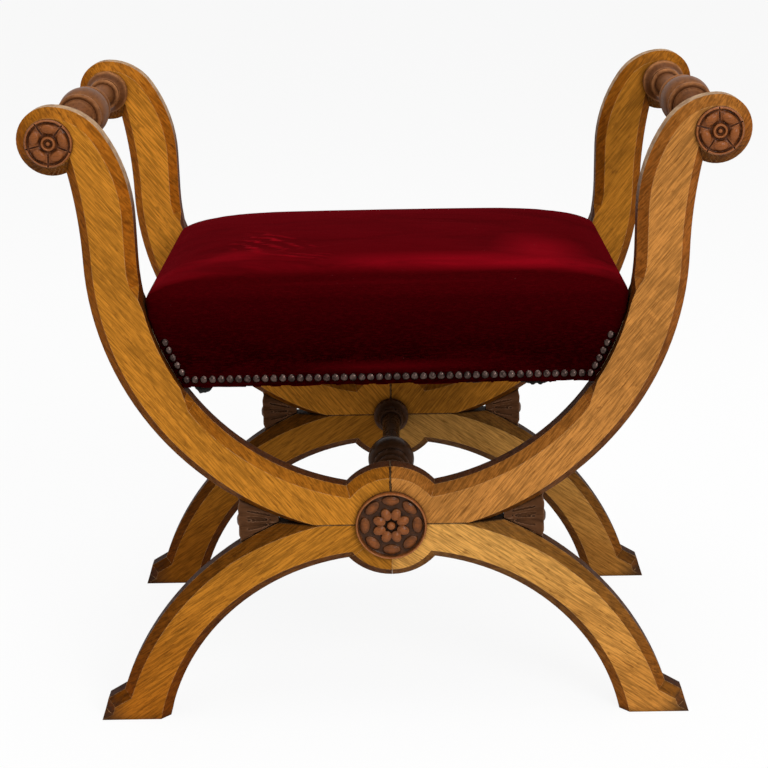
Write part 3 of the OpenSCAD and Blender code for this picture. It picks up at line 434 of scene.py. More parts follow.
def hand_worn(tree, wood, blots, ridges, worn_colour, hollows, dirt):
    """Wood rubbed pale with a painted highlight on its ridges, and darkened in its hollows by painted shade
    and dirt.

    ridges: sharpness where the wear and painted highlight start and are full, its least share and its
    strength.
    hollows: reach, open share when full and when none, and strength of the painted shade and dirt.
    """
    start, full, least, wear = ridges
    reach, closed, open_share, depth = hollows
    ridge = fade(node(tree, "NewGeometry").outputs["Pointiness"], start, full)
    ridge = times(ridge, fade(blots, 0.35, 0.6, least, 1.0), wear)
    wood = paint(ridge, wood, rgb(worn_colour))
    return paint(times(recess(tree, reach, closed, open_share), depth), wood, dirt)


def carved_finish(name, colour, worn_colour, dirt, height, gloss):
    """Carved hardwood on the frames' faces: dark low down, polished and given a painted highlight on its high
    places, with painted shade in its hollows.
    """
    material, tree, coords = new_finish(name)
    place = coords["Object"]
    blots = grains(place, 150.0, 3.0, 0.65)
    fibres = grains(place, 900.0, 2.0, 0.6, stretch=(0.12, 1.0, 1.0))
    proud = maths("DIVIDE", plus(off(axes(place)["Y"]), FACE_Y), height)
    level = plus(proud, fade(blots, 0.3, 0.7, -0.14, 0.14))
    # Darker the lower it lies: dirt and painted shade in the low field.
    wood = paint(fade(level, 0.12, 0.62), rgb(dirt), rgb(colour))
    wood = streaks(wood, (fibres, 0.5, 0.7, 0.5, rgb(colour, 0.35)))
    ridges, hollows = (0.51, 0.58, 0.35, 0.85), (0.005, 0.30, 0.85, 0.92)
    wood = hand_worn(tree, wood, blots, ridges, worn_colour, hollows, rgb(dirt, 0.35))
    relief = plus(fibres, times(blots, 0.8))
    close(
        tree, Base_Color=wood, Roughness=fade(blots, 0.3, 0.7, gloss, gloss + 0.18),
        Specular_IOR_Level=0.12, Normal=bump(relief, 0.00012),
    )
    return material


def polished_finish(name, colour, worn_colour, dirt, stretch, gloss):
    """Polished hardwood with its grain drawn out, with painted shade in its hollows, and worn pale with a
    painted highlight on its ridges.
    """
    material, tree, coords = new_finish(name)
    place = coords["Object"]
    long_grain = grains(place, 420.0, 3.0, 0.6, stretch=stretch)
    broad = grains(place, 34.0, 3.0, 0.6)
    rubbed = grains(place, 140.0, 2.0, 0.6)
    wood = paint(fade(broad, 0.3, 0.7), rgb(colour, 0.72), rgb(colour, 1.3))
    wood = streaks(wood, (long_grain, 0.5, 0.7, 0.6, rgb(colour, 0.4)))
    ridges, hollows = (0.505, 0.56, 0.3, 0.8), (0.006, 0.25, 0.80, 0.9)
    wood = hand_worn(tree, wood, rubbed, ridges, worn_colour, hollows, rgb(dirt))
    relief = plus(long_grain, times(rubbed, 0.6))
    close(
        tree, Base_Color=wood, Roughness=fade(rubbed, 0.3, 0.7, gloss, gloss + 0.16),
        Specular_IOR_Level=0.03, Normal=bump(relief, 0.00010),
    )
    return material


def beech_finish(name, colour):
    """Bare sawn beech with short flecks."""
    material, tree, coords = new_finish(name)
    place = coords["Object"]
    flecks = grains(place, 900.0, 2.0, 0.6, stretch=(0.12, 0.5, 1.0))
    saw_marks = grains(place, 360.0, 1.0, stretch=(1.0, 1.0, 0.1))
    wood = paint(grains(place, 20.0, 2.0), rgb(colour, 0.8), rgb(colour, 1.1))
    wood = streaks(wood, (flecks, 0.56, 0.7, 0.6, rgb(colour, 0.45)))
    close(tree, Base_Color=wood, Roughness=0.75, Normal=bump(saw_marks, 0.0002))
    return material


def velvet_finish(name):
    """Old silk velvet: painted shade darkens its sides, and its creased top is brightened by painted light
    and painted sheen.
    """
    colour = bpy.context.scene.bench_colours.velvet
    material, tree, coords = new_finish(name)
    place = coords["Object"]
    spot = axes(place)
    facing = axes(coords["Normal"])
    brushed = grains(place, 15.0, 4.0, 0.62, 0.9, (0.4, 1.0, 1.4))
    pile = grains(place, 1500.0, 2.0, 0.7)
    threads = grains(place, 700.0, 2.0, 0.6, stretch=(0.25, 1.0, 1.0))
    lint = grains(place, 420.0, 1.0, 0.5)

    wander = fade(brushed, 0.25, 0.75, -0.05, 0.05)
    to_front = plus(times(facing["Y"], -1.0), wander)
    to_side = plus(off(facing["X"]), wander)
    # Painted light: the upward-facing top is lit brighter, and the sides get painted shade that deepens
    # towards the bottom.
    top = times(fade(to_front, 0.36, 0.20), fade(to_side, 0.95, 0.55))
    side = paint(fade(spot["Z"], PLAIN_SIDE_Z, SHOULDER_Z), rgb(colour, 0.08), rgb(colour, 0.56))
    cloth = paint(top, side, rgb(colour, 1.22))
    cloth = streaks(cloth, (brushed, 0.52, 0.34, 0.5, rgb(colour, 0.50)))
    # Painted sheen along the top's front edge and in patches on the top.
    cloth = paint(times(rubbed_places(spot, brushed), top), cloth, rgb(colour, 4.0))
    # Painted highlight on the soft fold above the nails.
    puff = fade(off(spot["Z"], PUFF_Z), 0.008, 0.0)
    puff = times(puff, fade(off(spot["X"]), 0.11, 0.02), 0.6)
    cloth = paint(puff, cloth, rgb(colour, 1.7))
    folds = crease_fan(place, spot, brushed)
    # Painted highlight along the creases, which also bump the surface.
    cloth = paint(times(folds, 0.80), cloth, rgb(colour, 4.2))
    cloth = streaks(
        cloth,
        (threads, 0.45, 0.75, 0.25, rgb(colour, 1.8)),
        (pile, 0.45, 0.75, 0.35, rgb(colour, 1.7)),
        (lint, 0.80, 0.83, 0.35, LINT),
    )
    creased = bump(plus(folds, times(brushed, 1.2)), 0.0016)
    close(
        tree, Base_Color=cloth, Roughness=0.9, Specular_IOR_Level=0.0, Sheen_Weight=0.10,
        Sheen_Roughness=0.35, Sheen_Tint=VELVET_SHEEN, Normal=bump(pile, 0.00010, creased),
    )
    return material


def off_patch(spot, patch, squeeze):
    """How far a place on the seat's top is from a patch, with width and depth weighed apart."""
    squares = []
    for axis, centre, share in zip("XY", patch, squeeze):
        side = times(maths("SUBTRACT", spot[axis], centre), share)
        squares.append(maths("POWER", side, 2.0))
    return maths("SQRT", plus(*squares))


def rubbed_places(spot, brushed):
    """Where a sheen is painted bright on the pile: along the top's front edge, and most at its right end."""
    edge = fade(off(spot["Y"], RUBBED_EDGE_Y), 0.034, 0.004)
    edge = times(edge, fade(brushed, 0.34, 0.58, 0.25, 1.0))
    edge = times(edge, fade(spot["X"], -0.06, 0.06, 0.45, 1.0), 0.85)
    right = times(fade(off_patch(spot, RIGHT_PATCH, (1.1, 0.75)), 0.062, 0.012), 0.62)
    left = fade(off_patch(spot, LEFT_PATCH, (0.7, 1.0)), 0.040, 0.006)
    left = times(left, fade(brushed, 0.42, 0.62, 0.1, 0.55))
    return maths("MAXIMUM", edge, maths("MAXIMUM", right, left))


def crease_fan(place, spot, brushed):
    """Fine creases that fan out to the left from a point on the top's front edge."""
    out = maths("SUBTRACT", CREASE_X, spot["X"])
    back = maths("SUBTRACT", spot["Y"], CREASE_Y)
    bend = times(out, out, -3.2)
    turn = maths("ARCTAN2", plus(back, bend), out)
    sway = fade(brushed, 0.2, 0.8, -7.0, 7.0)
    waves = maths("SINE", plus(times(turn, 34.0), sway))
    broken = fade(grains(place, 40.0, 2.0, 0.6, 0.5, (0.35, 1.0, 1.0)), 0.38, 0.62)
    fine = times(maths("POWER", fade(waves, -0.3, 0.9), 1.4), broken)
    reach = maths("SQRT", plus(times(out, out), times(back, back)))
    around = times(fade(reach, 0.045, 0.085), fade(reach, 0.200, 0.150))
    between = times(fade(turn, -0.10, 0.05), fade(turn, 0.75, 0.50))
    return times(fine, times(around, between))


def brass_finish(name):
    """Old lacquered brass, brown in its hollows."""
    colour = bpy.context.scene.bench_colours.brass
    material, tree, coords = new_finish(name)
    patina = grains(coords["Object"], 190.0, 3.0, 0.6)
    metal = paint(fade(patina, 0.38, 0.62), rgb(colour, 0.35), rgb(colour, 1.2))
    metal = paint(recess(tree, 0.0035, 0.55, 0.95), metal, rgb(colour, 0.10))
    close(
        tree, Base_Color=metal, Metallic=1.0, Roughness=fade(patina, 0.3, 0.7, 0.30, 0.16),
        Normal=bump(patina, 0.0002),
    )
    return material


def iron_finish(name):
    """Blued iron with a little rust."""
    colour = bpy.context.scene.bench_colours.iron
    material, tree, coords = new_finish(name)
    rust = grains(coords["Object"], 240.0, 3.0, 0.6)
    metal = paint(fade(rust, 0.5, 0.7), rgb(colour), RUST)
    close(tree, Base_Color=metal, Metallic=0.8, Roughness=0.55, Normal=bump(rust, 0.0002))
    return material


def woven_finish(name, colour, pitch, thread_contrast=0.5, hairy=0.3):
    """Plain weave with threads along X and Y at a pitch."""
    material, tree, coords = new_finish(name)
    place = coords["Object"]
    spot = axes(place)
    uneven = grains(place, 60.0, 3.0, 0.6)
    warp, weft = (maths("SINE", times(spot[axis], math.pi / pitch)) for axis in "XY")
    over = fade(times(warp, weft), -1.0, 1.0)
    fibres = grains(place, 1800.0, 2.0, 0.6, stretch=(1.0, 0.2, 1.0))
    cloth = paint(fade(uneven, 0.3, 0.7), rgb(colour, 0.75), rgb(colour, 1.2))
    cloth = paint(times(over, thread_contrast), rgb(colour, 0.45), cloth)
    cloth = streaks(cloth, (fibres, 0.5, 0.8, hairy, rgb(colour, 1.6)))
    close(tree, Base_Color=cloth, Roughness=0.9, Normal=bump(plus(over, fibres), 0.0004))
    return material


# ---------------------------------------------------------------- Modelling helpers


def deselect():
    """Leaves edit mode and clears the selection, because an operator acts on all that is selected."""
    if bpy.context.mode != "OBJECT":
        bpy.ops.object.mode_set(mode="OBJECT")
    bpy.ops.object.select_all(action="DESELECT")


def pick(*pieces):
    """Selects pieces and makes the last the active one."""
    deselect()
    for piece in pieces:
        piece.select_set(True)
    bpy.context.view_layer.objects.active = pieces[-1]


def new_piece(name):
    """The object that a primitive has just made, under a name of its own."""
    piece = bpy.context.active_object
    piece.name = name
    piece.data.name = name
    return piece


def choose_faces(piece, test):
    """Selects in edit mode the faces whose centre and normal pass a test."""
    bpy.ops.object.mode_set(mode="OBJECT")
    for part in (piece.data.vertices, piece.data.edges, piece.data.polygons):
        part.foreach_set("select", [False] * len(part))
    for face in piece.data.polygons:
        face.select = test(face.center, face.normal)
    bpy.ops.object.mode_set(mode="EDIT")
    bpy.ops.mesh.select_mode(type="FACE")


def settle(piece):
    """Puts the piece's place into its mesh and leaves the object at the origin."""
    pick(piece)
    bpy.ops.object.transform_apply(location=True, rotation=True, scale=True)


def join(name, *pieces):
    """One piece of several."""
    pick(*pieces)
    bpy.ops.object.join()
    return new_piece(name)


def apply_modifier(piece, kind, **settings):
    """Adds a modifier with its settings and applies it."""
    pick(piece)
    modifier = piece.modifiers.new(kind, kind)
    for key, value in settings.items():
        setattr(modifier, key, value)
    bpy.ops.object.modifier_apply(modifier=modifier.name)


def carve(piece, voxel, passes=3, keep=0.45):
    """Runs joined shapes together as if they were cut from one block."""
    apply_modifier(piece, "REMESH", mode="VOXEL", voxel_size=voxel, use_smooth_shade=True)
    apply_modifier(piece, "SMOOTH", factor=0.5, iterations=passes)
    apply_modifier(piece, "DECIMATE", ratio=keep)
    smooth(piece)


def spin(turn):
    """Turn about the Z axis."""
    return Matrix.Rotation(turn, 4, "Z")


def copy_of(piece, name, matrix):
    """A copy with its own mesh, moved by a matrix."""
    made = piece.copy()
    made.data = piece.data.copy()
    made.name = name
    made.data.name = name
    bpy.context.scene.collection.objects.link(made)
    made.data.transform(matrix)
    if matrix.determinant() < 0:
        made.data.flip_normals()
    return made


def remove(*pieces):
    """Takes pieces away."""
    for piece in pieces:
        bpy.data.objects.remove(piece, do_unlink=True)


def smooth(piece):
    """Shades a piece smooth."""
    pick(piece)
    bpy.ops.object.shade_smooth()


def held(value):
    """Value kept from 0 to 1."""
    return max(0.0, min(1.0, value))


def eased(value):
    """Value kept from 0 to 1, with a soft start and end."""
    value = held(value)
    return value * value * (3 - 2 * value)


def near(distance, reach):
    """1 at a place, and 0 from a reach away."""
    return max(0.0, 1.0 - abs(distance) / reach)


def dress(piece, material, slot=None, *nodes):
    """Gives a new piece its material and its body, and hides the nodes that it stands for."""
    piece.data.materials.clear()
    piece.data.materials.append(material)
    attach(piece, ROOT)
    if nodes:
        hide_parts(*nodes)
    return piece


def finish_node(name, material):
    """A better material for a CAD node."""
    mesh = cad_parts[name].data
    if mesh.materials:
        for index in range(len(mesh.materials)):
            mesh.materials[index] = material
    else:
        mesh.materials.append(material)


def finish_nodes(names, material):
    """A better material for several CAD nodes."""
    for name in names:
        finish_node(name, material)


def facing_out(name):
    """Turns a carving that faces up so that it faces out of the frame, in its node's seat."""
    low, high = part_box(name)
    front = low.y < 0
    at = Vector(((low.x + high.x) / 2, high.y if front else low.y, (low.z + high.z) / 2))
    return Matrix.Translation(at) @ Matrix.Rotation(math.radians(90 if front else -90), 4, "X")


def from_node(node_name, name):
    """A closed mesh of its own in the shape of a CAD node."""
    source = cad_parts[node_name]
    mesh = source.data.copy()
    mesh.transform(source.matrix_world)
    piece = bpy.data.objects.new(name, mesh)
    bpy.context.scene.collection.objects.link(piece)
    pick(piece)
    bpy.ops.object.mode_set(mode="EDIT")
    bpy.ops.mesh.select_all(action="SELECT")
    bpy.ops.mesh.remove_doubles(threshold=0.00001)
    bpy.ops.object.mode_set(mode="OBJECT")
    return piece


def turned(name, radius, depth, profile):
    """Disc that faces up, turned to a profile whose points are shares of its radius and its depth."""
    deselect()
    bpy.ops.mesh.primitive_cylinder_add(
        vertices=DISC_POINTS, radius=radius, depth=depth, location=(0, 0, depth / 2)
    )
    disc = new_piece(name)
    settle(disc)
    choose_faces(disc, lambda centre, normal: normal.z > 0.9)
    bpy.ops.transform.translate(value=(0, 0, depth * (profile[0][1] - 1)))
    for (r0, z0), (r1, z1) in zip(profile, profile[1:]):
        bpy.ops.mesh.inset(thickness=(r0 - r1) * radius, depth=(z1 - z0) * depth)
    bpy.ops.object.mode_set(mode="OBJECT")
    return disc


def ball(name, half, place):
    """Smooth ball or egg with half sizes along the axes."""
    deselect()
    bpy.ops.mesh.primitive_uv_sphere_add(segments=32, ring_count=16, radius=1.0, location=place)
    made = new_piece(name)
    made.scale = half
    settle(made)
    return made


def flat_sheet(name, columns, rows, size, z):
    """Flat sheet of a grid, at a height."""
    deselect()
    bpy.ops.mesh.primitive_grid_add(x_subdivisions=columns, y_subdivisions=rows, size=1.0, location=(0, 0, 0))
    sheet = new_piece(name)
    sheet.scale = (size.x, size.y, 1.0)
    sheet.location = (0.0, 0.0, z)
    settle(sheet)
    return sheet


class RosetteBlock:
    """The block that a rosette is carved from: its radius, its depth, and how proud of its seat it stands."""

    def __init__(self, name):
        self.radius, self.depth = extent(name).x / 2, extent(name).y
        self.proud = FACE_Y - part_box(name)[0].y
        self.seat = self.depth - self.proud

    def levels(self, profile):
        """Profile whose heights are shares of the relief, as shares of the whole depth."""
        return [(r, (self.seat + self.proud * z) / self.depth) for r, z in profile]

    def measure(self, half, out, lift):
        """Half sizes and place of a shape that is given in shares of the radius and the relief."""
        size = (self.radius * half[0], self.radius * half[1], self.proud * half[2])
        return size, (0.0, self.radius * out, self.seat + self.proud * lift)

    def set_in(self, flower, polish, leans):
        """Sets a copy of the flower in each node's seat, turned by its lean, and takes the flower away."""
        for name, lean in leans.items():
            matrix = facing_out(name) @ spin(lean)
            dress(copy_of(flower, name + "_carving", matrix), polish, "rosette_walnut", name)
        remove(flower)


def seat_reach(z):
    """Half width of the seat at a height, between the arms' round sweep."""
    return math.sqrt(SWEEP_R**2 - (SWEEP_Z - min(z, SWEEP_Z)) ** 2) - SIDE_GAP


def seat_ring(half_w, half_d, front_corner, back_corner, z):
    """Rectangle with round corners at a height, counter-clockwise from above."""
    points = []
    for quarter, (sx, sy) in enumerate(((1, 1), (-1, 1), (-1, -1), (1, -1))):
        corner = back_corner if sy > 0 else front_corner
        for i in range(CORNER_STEPS + 1):
            turn = math.radians(90 * quarter + 90 * i / CORNER_STEPS)
            x = sx * (half_w - corner) + corner * math.cos(turn)
            points.append((x, sy * (half_d - corner) + corner * math.sin(turn), z))
    return points


def seat_form(name, inset=0.0, low_z=None):
    """The seat's form: sides in the arms' sweep, full front corners, rounder back ones and a low crown."""
    low_z = SEAT_LOW.z if low_z is None else low_z
    half_d = SEAT_HIGH.y - inset
    crown = SEAT_HIGH.z - CROWN_GAP - inset - SHOULDER_Z
    rings = []
    for step in range(SIDE_STEPS + 1):
        z = low_z + (SHOULDER_Z - low_z) * (step / SIDE_STEPS)
        height = (z - SEAT_LOW.z) / (SHOULDER_Z - SEAT_LOW.z)
        corners = [half_d * (LEAST_CORNER + (full - LEAST_CORNER) * height**SQUARE_POWER) for full in CORNERS]
        rings.append(seat_ring(seat_reach(z) + SHOULDER_OUT * height**6 - inset, half_d, *corners, z))
    full_width = seat_reach(SHOULDER_Z) + SHOULDER_OUT - inset
    for step in range(1, CROWN_STEPS):
        turn = math.radians(90 * step / CROWN_STEPS)
        share = math.cos(turn) ** CROWN_POWER
        most = half_d * share * MOST_CORNER
        corners = [min(most, half_d * (full + CORNER_SWELL * (1 - share) ** 2)) for full in CORNERS]
        z = SHOULDER_Z + crown * math.sin(turn)
        rings.append(seat_ring(full_width * share, half_d * share, *corners, z))
    count = len(rings[0])
    points = [p for ring in rings for p in ring] + [(0, 0, low_z), (0, 0, SHOULDER_Z + crown)]
    faces = []
    for level in range(len(rings) - 1):
        for i in range(count):
            a, b = level * count + i, level * count + (i + 1) % count
            faces.append((a, b, b + count, a + count))
    last = (len(rings) - 1) * count
    for i in range(count):
        faces.append((len(points) - 2, (i + 1) % count, i))
        faces.append((len(points) - 1, last + i, last + (i + 1) % count))
    mesh = bpy.data.meshes.new(name)
    mesh.from_pydata(points, [], faces)
    form = bpy.data.objects.new(name, mesh)
    bpy.context.scene.collection.objects.link(form)
    return form


# ---------------------------------------------------------------- Operators


class FrameFinish(bpy.types.Operator):
    """Oak of the eight sawn members and of the block pieced into the front boss"""

    bl_idname = "bench.frame_finish"
    bl_label = "Oak frames"

    plank_step = 0.37

    def execute(self, context):
        colours = context.scene.bench_colours
        lean = math.atan2(SCROLL.z - JOINT_Z, SCROLL.x)
        leg_lean = math.atan2(JOINT_Z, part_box("front_right_leg")[1].x)
        # Each member's oak, the lean of its grain, the strength of its figure and how light it is; the low
        # values of the back legs and the back right arm are painted shade.
        plans = {
            "front_left_arm": (colours.oak, -lean, 0.22, 1.06),
            "front_right_arm": (colours.oak_tan, lean, 0.50, 0.92),
            "back_left_arm": (colours.oak, -lean, 0.2, 1.04),
            "back_right_arm": (colours.oak, lean, 0.35, 0.78),
            "front_left_leg": (colours.oak, leg_lean, 0.25, 0.90),
            "front_right_leg": (colours.oak_pale, -leg_lean, 0.30, 1.02),
            "back_left_leg": (colours.oak, leg_lean, 0.2, 0.66),
            "back_right_leg": (colours.oak_pale, -leg_lean, 0.2, 0.66),
            "front_boss_patch": (colours.oak, math.radians(-45), 0.2, 0.72),
        }
        for index, (name, (colour, angle, figure, shade)) in enumerate(plans.items()):
            oak = oak_finish("oak_" + name, colour, angle, figure, shade, self.plank_step * index)
            finish_node(name, oak)
        return {"FINISHED"}


class RailFinish(bpy.types.Operator):
    """Polish of the two turned arm rails and the dark stretcher"""

    bl_idname = "bench.rail_finish"
    bl_label = "Turned rails"

    # Colours of the worn ridges with their painted highlight, and of the painted shade and dirt in the
    # hollows.
    rail_worn, rail_dirt = (0.36, 0.15, 0.055), (0.020, 0.007, 0.004)
    stretcher_worn, stretcher_dirt = (0.10, 0.05, 0.03), (0.004, 0.003, 0.003)
    along = (1.0, 0.08, 1.0)

    def execute(self, context):
        colours = context.scene.bench_colours
        rail = polished_finish(
            "rail_polish", colours.rail_wood, self.rail_worn, self.rail_dirt, self.along, 0.28
        )
        stretcher = polished_finish(
            "stretcher_polish", colours.dark_wood, self.stretcher_worn, self.stretcher_dirt, self.along, 0.2
        )
        finish_nodes(ARM_RAILS, rail)
        finish_node("centre_stretcher", stretcher)
        return {"FINISHED"}


class BossRosettes(bpy.types.Operator):
    """Carved rosettes on the bosses: a rim, a ring of broad lobes, dished petals and a button"""

    bl_idname = "bench.boss_rosettes"
    bl_label = "Boss rosettes"

    profile = (
        (1.0, 0.42), (0.985, 0.66), (0.965, 0.74), (0.945, 0.66), (0.930, 0.34), (0.900, 0.14), (0.860, 0.10),
        (0.600, 0.10), (0.200, 0.06),
    )
    # Half sizes, distance from the middle and lift, as shares of the radius and the relief, and a dent.
    lobe = (0.250, 0.150, 0.55), 0.74, 0.08, 0.18
    petal = (0.142, 0.185, 0.70), 0.355, 0.22, 0.22
    button = (0.13, 0.13, 0.62), 0.0, 0.22
    dent_top, dent_reach = 0.72, 0.35
    # Worn colour with its painted highlight on the ridges, colour of the painted shade and dirt in the
    # hollows, and gloss.
    worn, dirt, gloss = (0.52, 0.22, 0.09), (0.052, 0.021, 0.009), 0.14

    def execute(self, context):
        sizes = context.scene.bench_sizes
        block = RosetteBlock(BOSS_ROSETTES[0])
        shapes = [turned("dish", block.radius, block.depth, block.levels(self.profile))]
        lobe = self.dished("lobe", block, *self.lobe)
        petal = self.dished("petal", block, *self.petal)
        half = math.pi / sizes.petal_count
        for index in range(sizes.petal_count):
            turn = 2 * math.pi * index / sizes.petal_count
            shapes.append(copy_of(lobe, "lobe_copy", spin(turn)))
            shapes.append(copy_of(petal, "petal_copy", spin(turn + half)))
        remove(lobe, petal)
        shapes.append(ball("button", *block.measure(*self.button)))
        flower = join("boss_flower", *shapes)
        carve(flower, sizes.carve_voxel)
        walnut = context.scene.bench_colours.walnut
        polish = carved_finish("rosette_polish", walnut, self.worn, self.dirt, block.proud, self.gloss)
        block.set_in(flower, polish, dict.fromkeys(BOSS_ROSETTES, 0.0))
        return {"FINISHED"}

    def dished(self, name, block, half, out, lift, dent):
        """Petal on the Y axis, rounded outside and dished inside."""
        petal = ball(name, (1.0, 1.0, 1.0), (0, 0, 0))
        choose_faces(petal, lambda centre, normal: centre.z > self.dent_top)
        bpy.ops.transform.translate(
            value=(0, 0, -dent), use_proportional_edit=True, proportional_edit_falloff="SMOOTH",
            proportional_size=self.dent_reach,
        )
        bpy.ops.object.mode_set(mode="OBJECT")
        petal.scale, petal.location = block.measure(half, out, lift)
        settle(petal)
        return petal


class ScrollRosettes(bpy.types.Operator):
    """Turned rosettes on the scroll ends, cut into petals by radial grooves"""

    bl_idname = "bench.scroll_rosettes"
    bl_label = "Scroll rosettes"

    profile = (
        (1.0, 0.36), (0.975, 0.58), (0.940, 0.66), (0.905, 0.56), (0.880, 0.24), (0.850, 0.20), (0.825, 0.36),
        (0.780, 0.46), (0.700, 0.50), (0.600, 0.50), (0.500, 0.46), (0.420, 0.38), (0.370, 0.24),
        (0.340, 0.22), (0.315, 0.50), (0.280, 0.80), (0.220, 0.84), (0.190, 0.50), (0.150, 0.34),
    )
    # Half sizes, distance from the middle and lift, as shares of the radius and the relief.
    button = (0.115, 0.115, 0.5), 0.0, 0.35
    petal = (0.31, 0.205, 0.58), 0.605, 0.38
    groove, groove_width = ((0.0, 0.60, 0.9), 0.68, 0.72), 0.0014
    leans = 0.55, 0.08, 0.9, 0.3
    # Worn colour with its painted highlight on the ridges, colour of the painted shade and dirt in the
    # hollows, and gloss.
    worn, dirt, gloss = (0.52, 0.20, 0.08), (0.040, 0.010, 0.004), 0.16

    def execute(self, context):
        sizes = context.scene.bench_sizes
        count = sizes.scroll_petal_count
        turns = [2 * math.pi * index / count for index in range(count)]
        block = RosetteBlock(SCROLL_ROSETTES[0])
        disc = turned("scroll_disc", block.radius, block.depth, block.levels(self.profile))
        button = ball("scroll_button", *block.measure(*self.button))
        petal = ball("petal", *block.measure(*self.petal))
        half = math.pi / count
        petals = [copy_of(petal, "petal_copy", spin(turn + half)) for turn in turns]
        remove(petal)
        flower = join("scroll_flower", disc, button, *petals)
        carve(flower, sizes.carve_voxel, 1, 1.0)

        deselect()
        (_, long, high), place = block.measure(*self.groove)
        bpy.ops.mesh.primitive_cube_add(size=1.0, location=place, scale=(self.groove_width, long, high))
        cutter = new_piece("groove")
        settle(cutter)
        cuts = join("grooves", *[copy_of(cutter, "groove_copy", spin(turn)) for turn in turns])
        apply_modifier(flower, "BOOLEAN", operation="DIFFERENCE", object=cuts, solver="EXACT")
        carve(flower, sizes.carve_voxel * 0.8, 1)
        remove(cutter, cuts)
        walnut = context.scene.bench_colours.walnut
        polish = carved_finish("scroll_polish", walnut, self.worn, self.dirt, block.proud, self.gloss)
        block.set_in(flower, polish, dict(zip(SCROLL_ROSETTES, self.leans)))
        return {"FINISHED"}


class LeafBrackets(bpy.types.Operator):
    """Three-lobed fluted leaves in the wedges between arms and legs"""

    bl_idname = "bench.leaf_brackets"
    bl_label = "Leaf brackets"

    lobe_heights = (0.17, 0.42, 0.69)
    bud, stalk = (0.0062, 0.0066, 0.0062), (0.0070, 0.0085, 0.0024)
    root_back, root_up = 0.012, 0.001
    flute_turns = (-24, 24)
    flute_ends = ((0.30, 0.0052), (0.86, 0.0100))
    flute_half = (0.0011, 0.0015)
    # Worn colour with its painted highlight on the ridges, colour of the painted shade and dirt in the
    # hollows, and gloss.
    worn, dirt, gloss = (0.26, 0.13, 0.070), (0.012, 0.007, 0.004), 0.22
    along = (0.08, 1.0, 1.0)

    def execute(self, context):
        voxel = context.scene.bench_sizes.carve_voxel
        low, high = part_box("front_right_leaf")
        centre_y = (low.y + high.y) / 2
        bud_z = low.z + (high.z - low.z) * self.lobe_heights[1]
        bud = ball("bud", self.bud, (high.x - self.bud[0], centre_y, bud_z))
        stalk = ball("stalk", self.stalk, (low.x + self.bud[0], centre_y, JOINT_Z + 0.0005))
        leaf = join("leaf", from_node("front_right_leaf", "leaf_form"), bud, stalk)
        root = Vector((low.x - self.root_back, centre_y, JOINT_Z + self.root_up))
        flutes = []
        for share in self.lobe_heights:
            tip = Vector((high.x, centre_y, low.z + (high.z - low.z) * share))
            for turn in self.flute_turns:
                for side in (-1, 1):
                    flutes.append(self.flute(root, tip, math.radians(turn), side))
        cutters = join("leaf_flutes", *flutes)
        apply_modifier(cutters, "REMESH", mode="VOXEL", voxel_size=voxel * 0.8)
        carve(leaf, voxel * 1.3, 3, 1.0)
        apply_modifier(leaf, "BOOLEAN", operation="DIFFERENCE", object=cutters, solver="EXACT")
        remove(cutters)
        carve(leaf, voxel * 1.2, 2, 0.5)
        leaf.data.transform(Matrix.Translation((0.0, -centre_y, 0.0)))
        brown = context.scene.bench_colours.leaf_wood
        polish = polished_finish("leaf_polish", brown, self.worn, self.dirt, self.along, self.gloss)
        for name in LEAVES:
            node_low, node_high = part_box(name)
            place = Matrix.Translation((0.0, (node_low.y + node_high.y) / 2, 0.0))
            if node_low.x < 0:
                place = place @ Matrix.Scale(-1, 4, Vector((1, 0, 0)))
            dress(copy_of(leaf, name + "_carving", place), polish, "dark_stained_wood", name)
        remove(leaf)
        return {"FINISHED"}

    def flute(self, root, tip, turn, side):
        """Long groove on the side of a lobe, near its surface from a third of its length to its end."""
        start, end = (
            root.lerp(tip, share) + Vector((0.0, side * reach * math.cos(turn), reach * math.sin(turn)))
            for share, reach in self.flute_ends
        )
        run = end - start
        groove = ball("flute", (*self.flute_half, run.length / 2), (0, 0, 0))
        aim = run.to_track_quat("Z", "Y").to_matrix().to_4x4()
        groove.data.transform(Matrix.Translation((start + end) / 2) @ aim)
        return groove


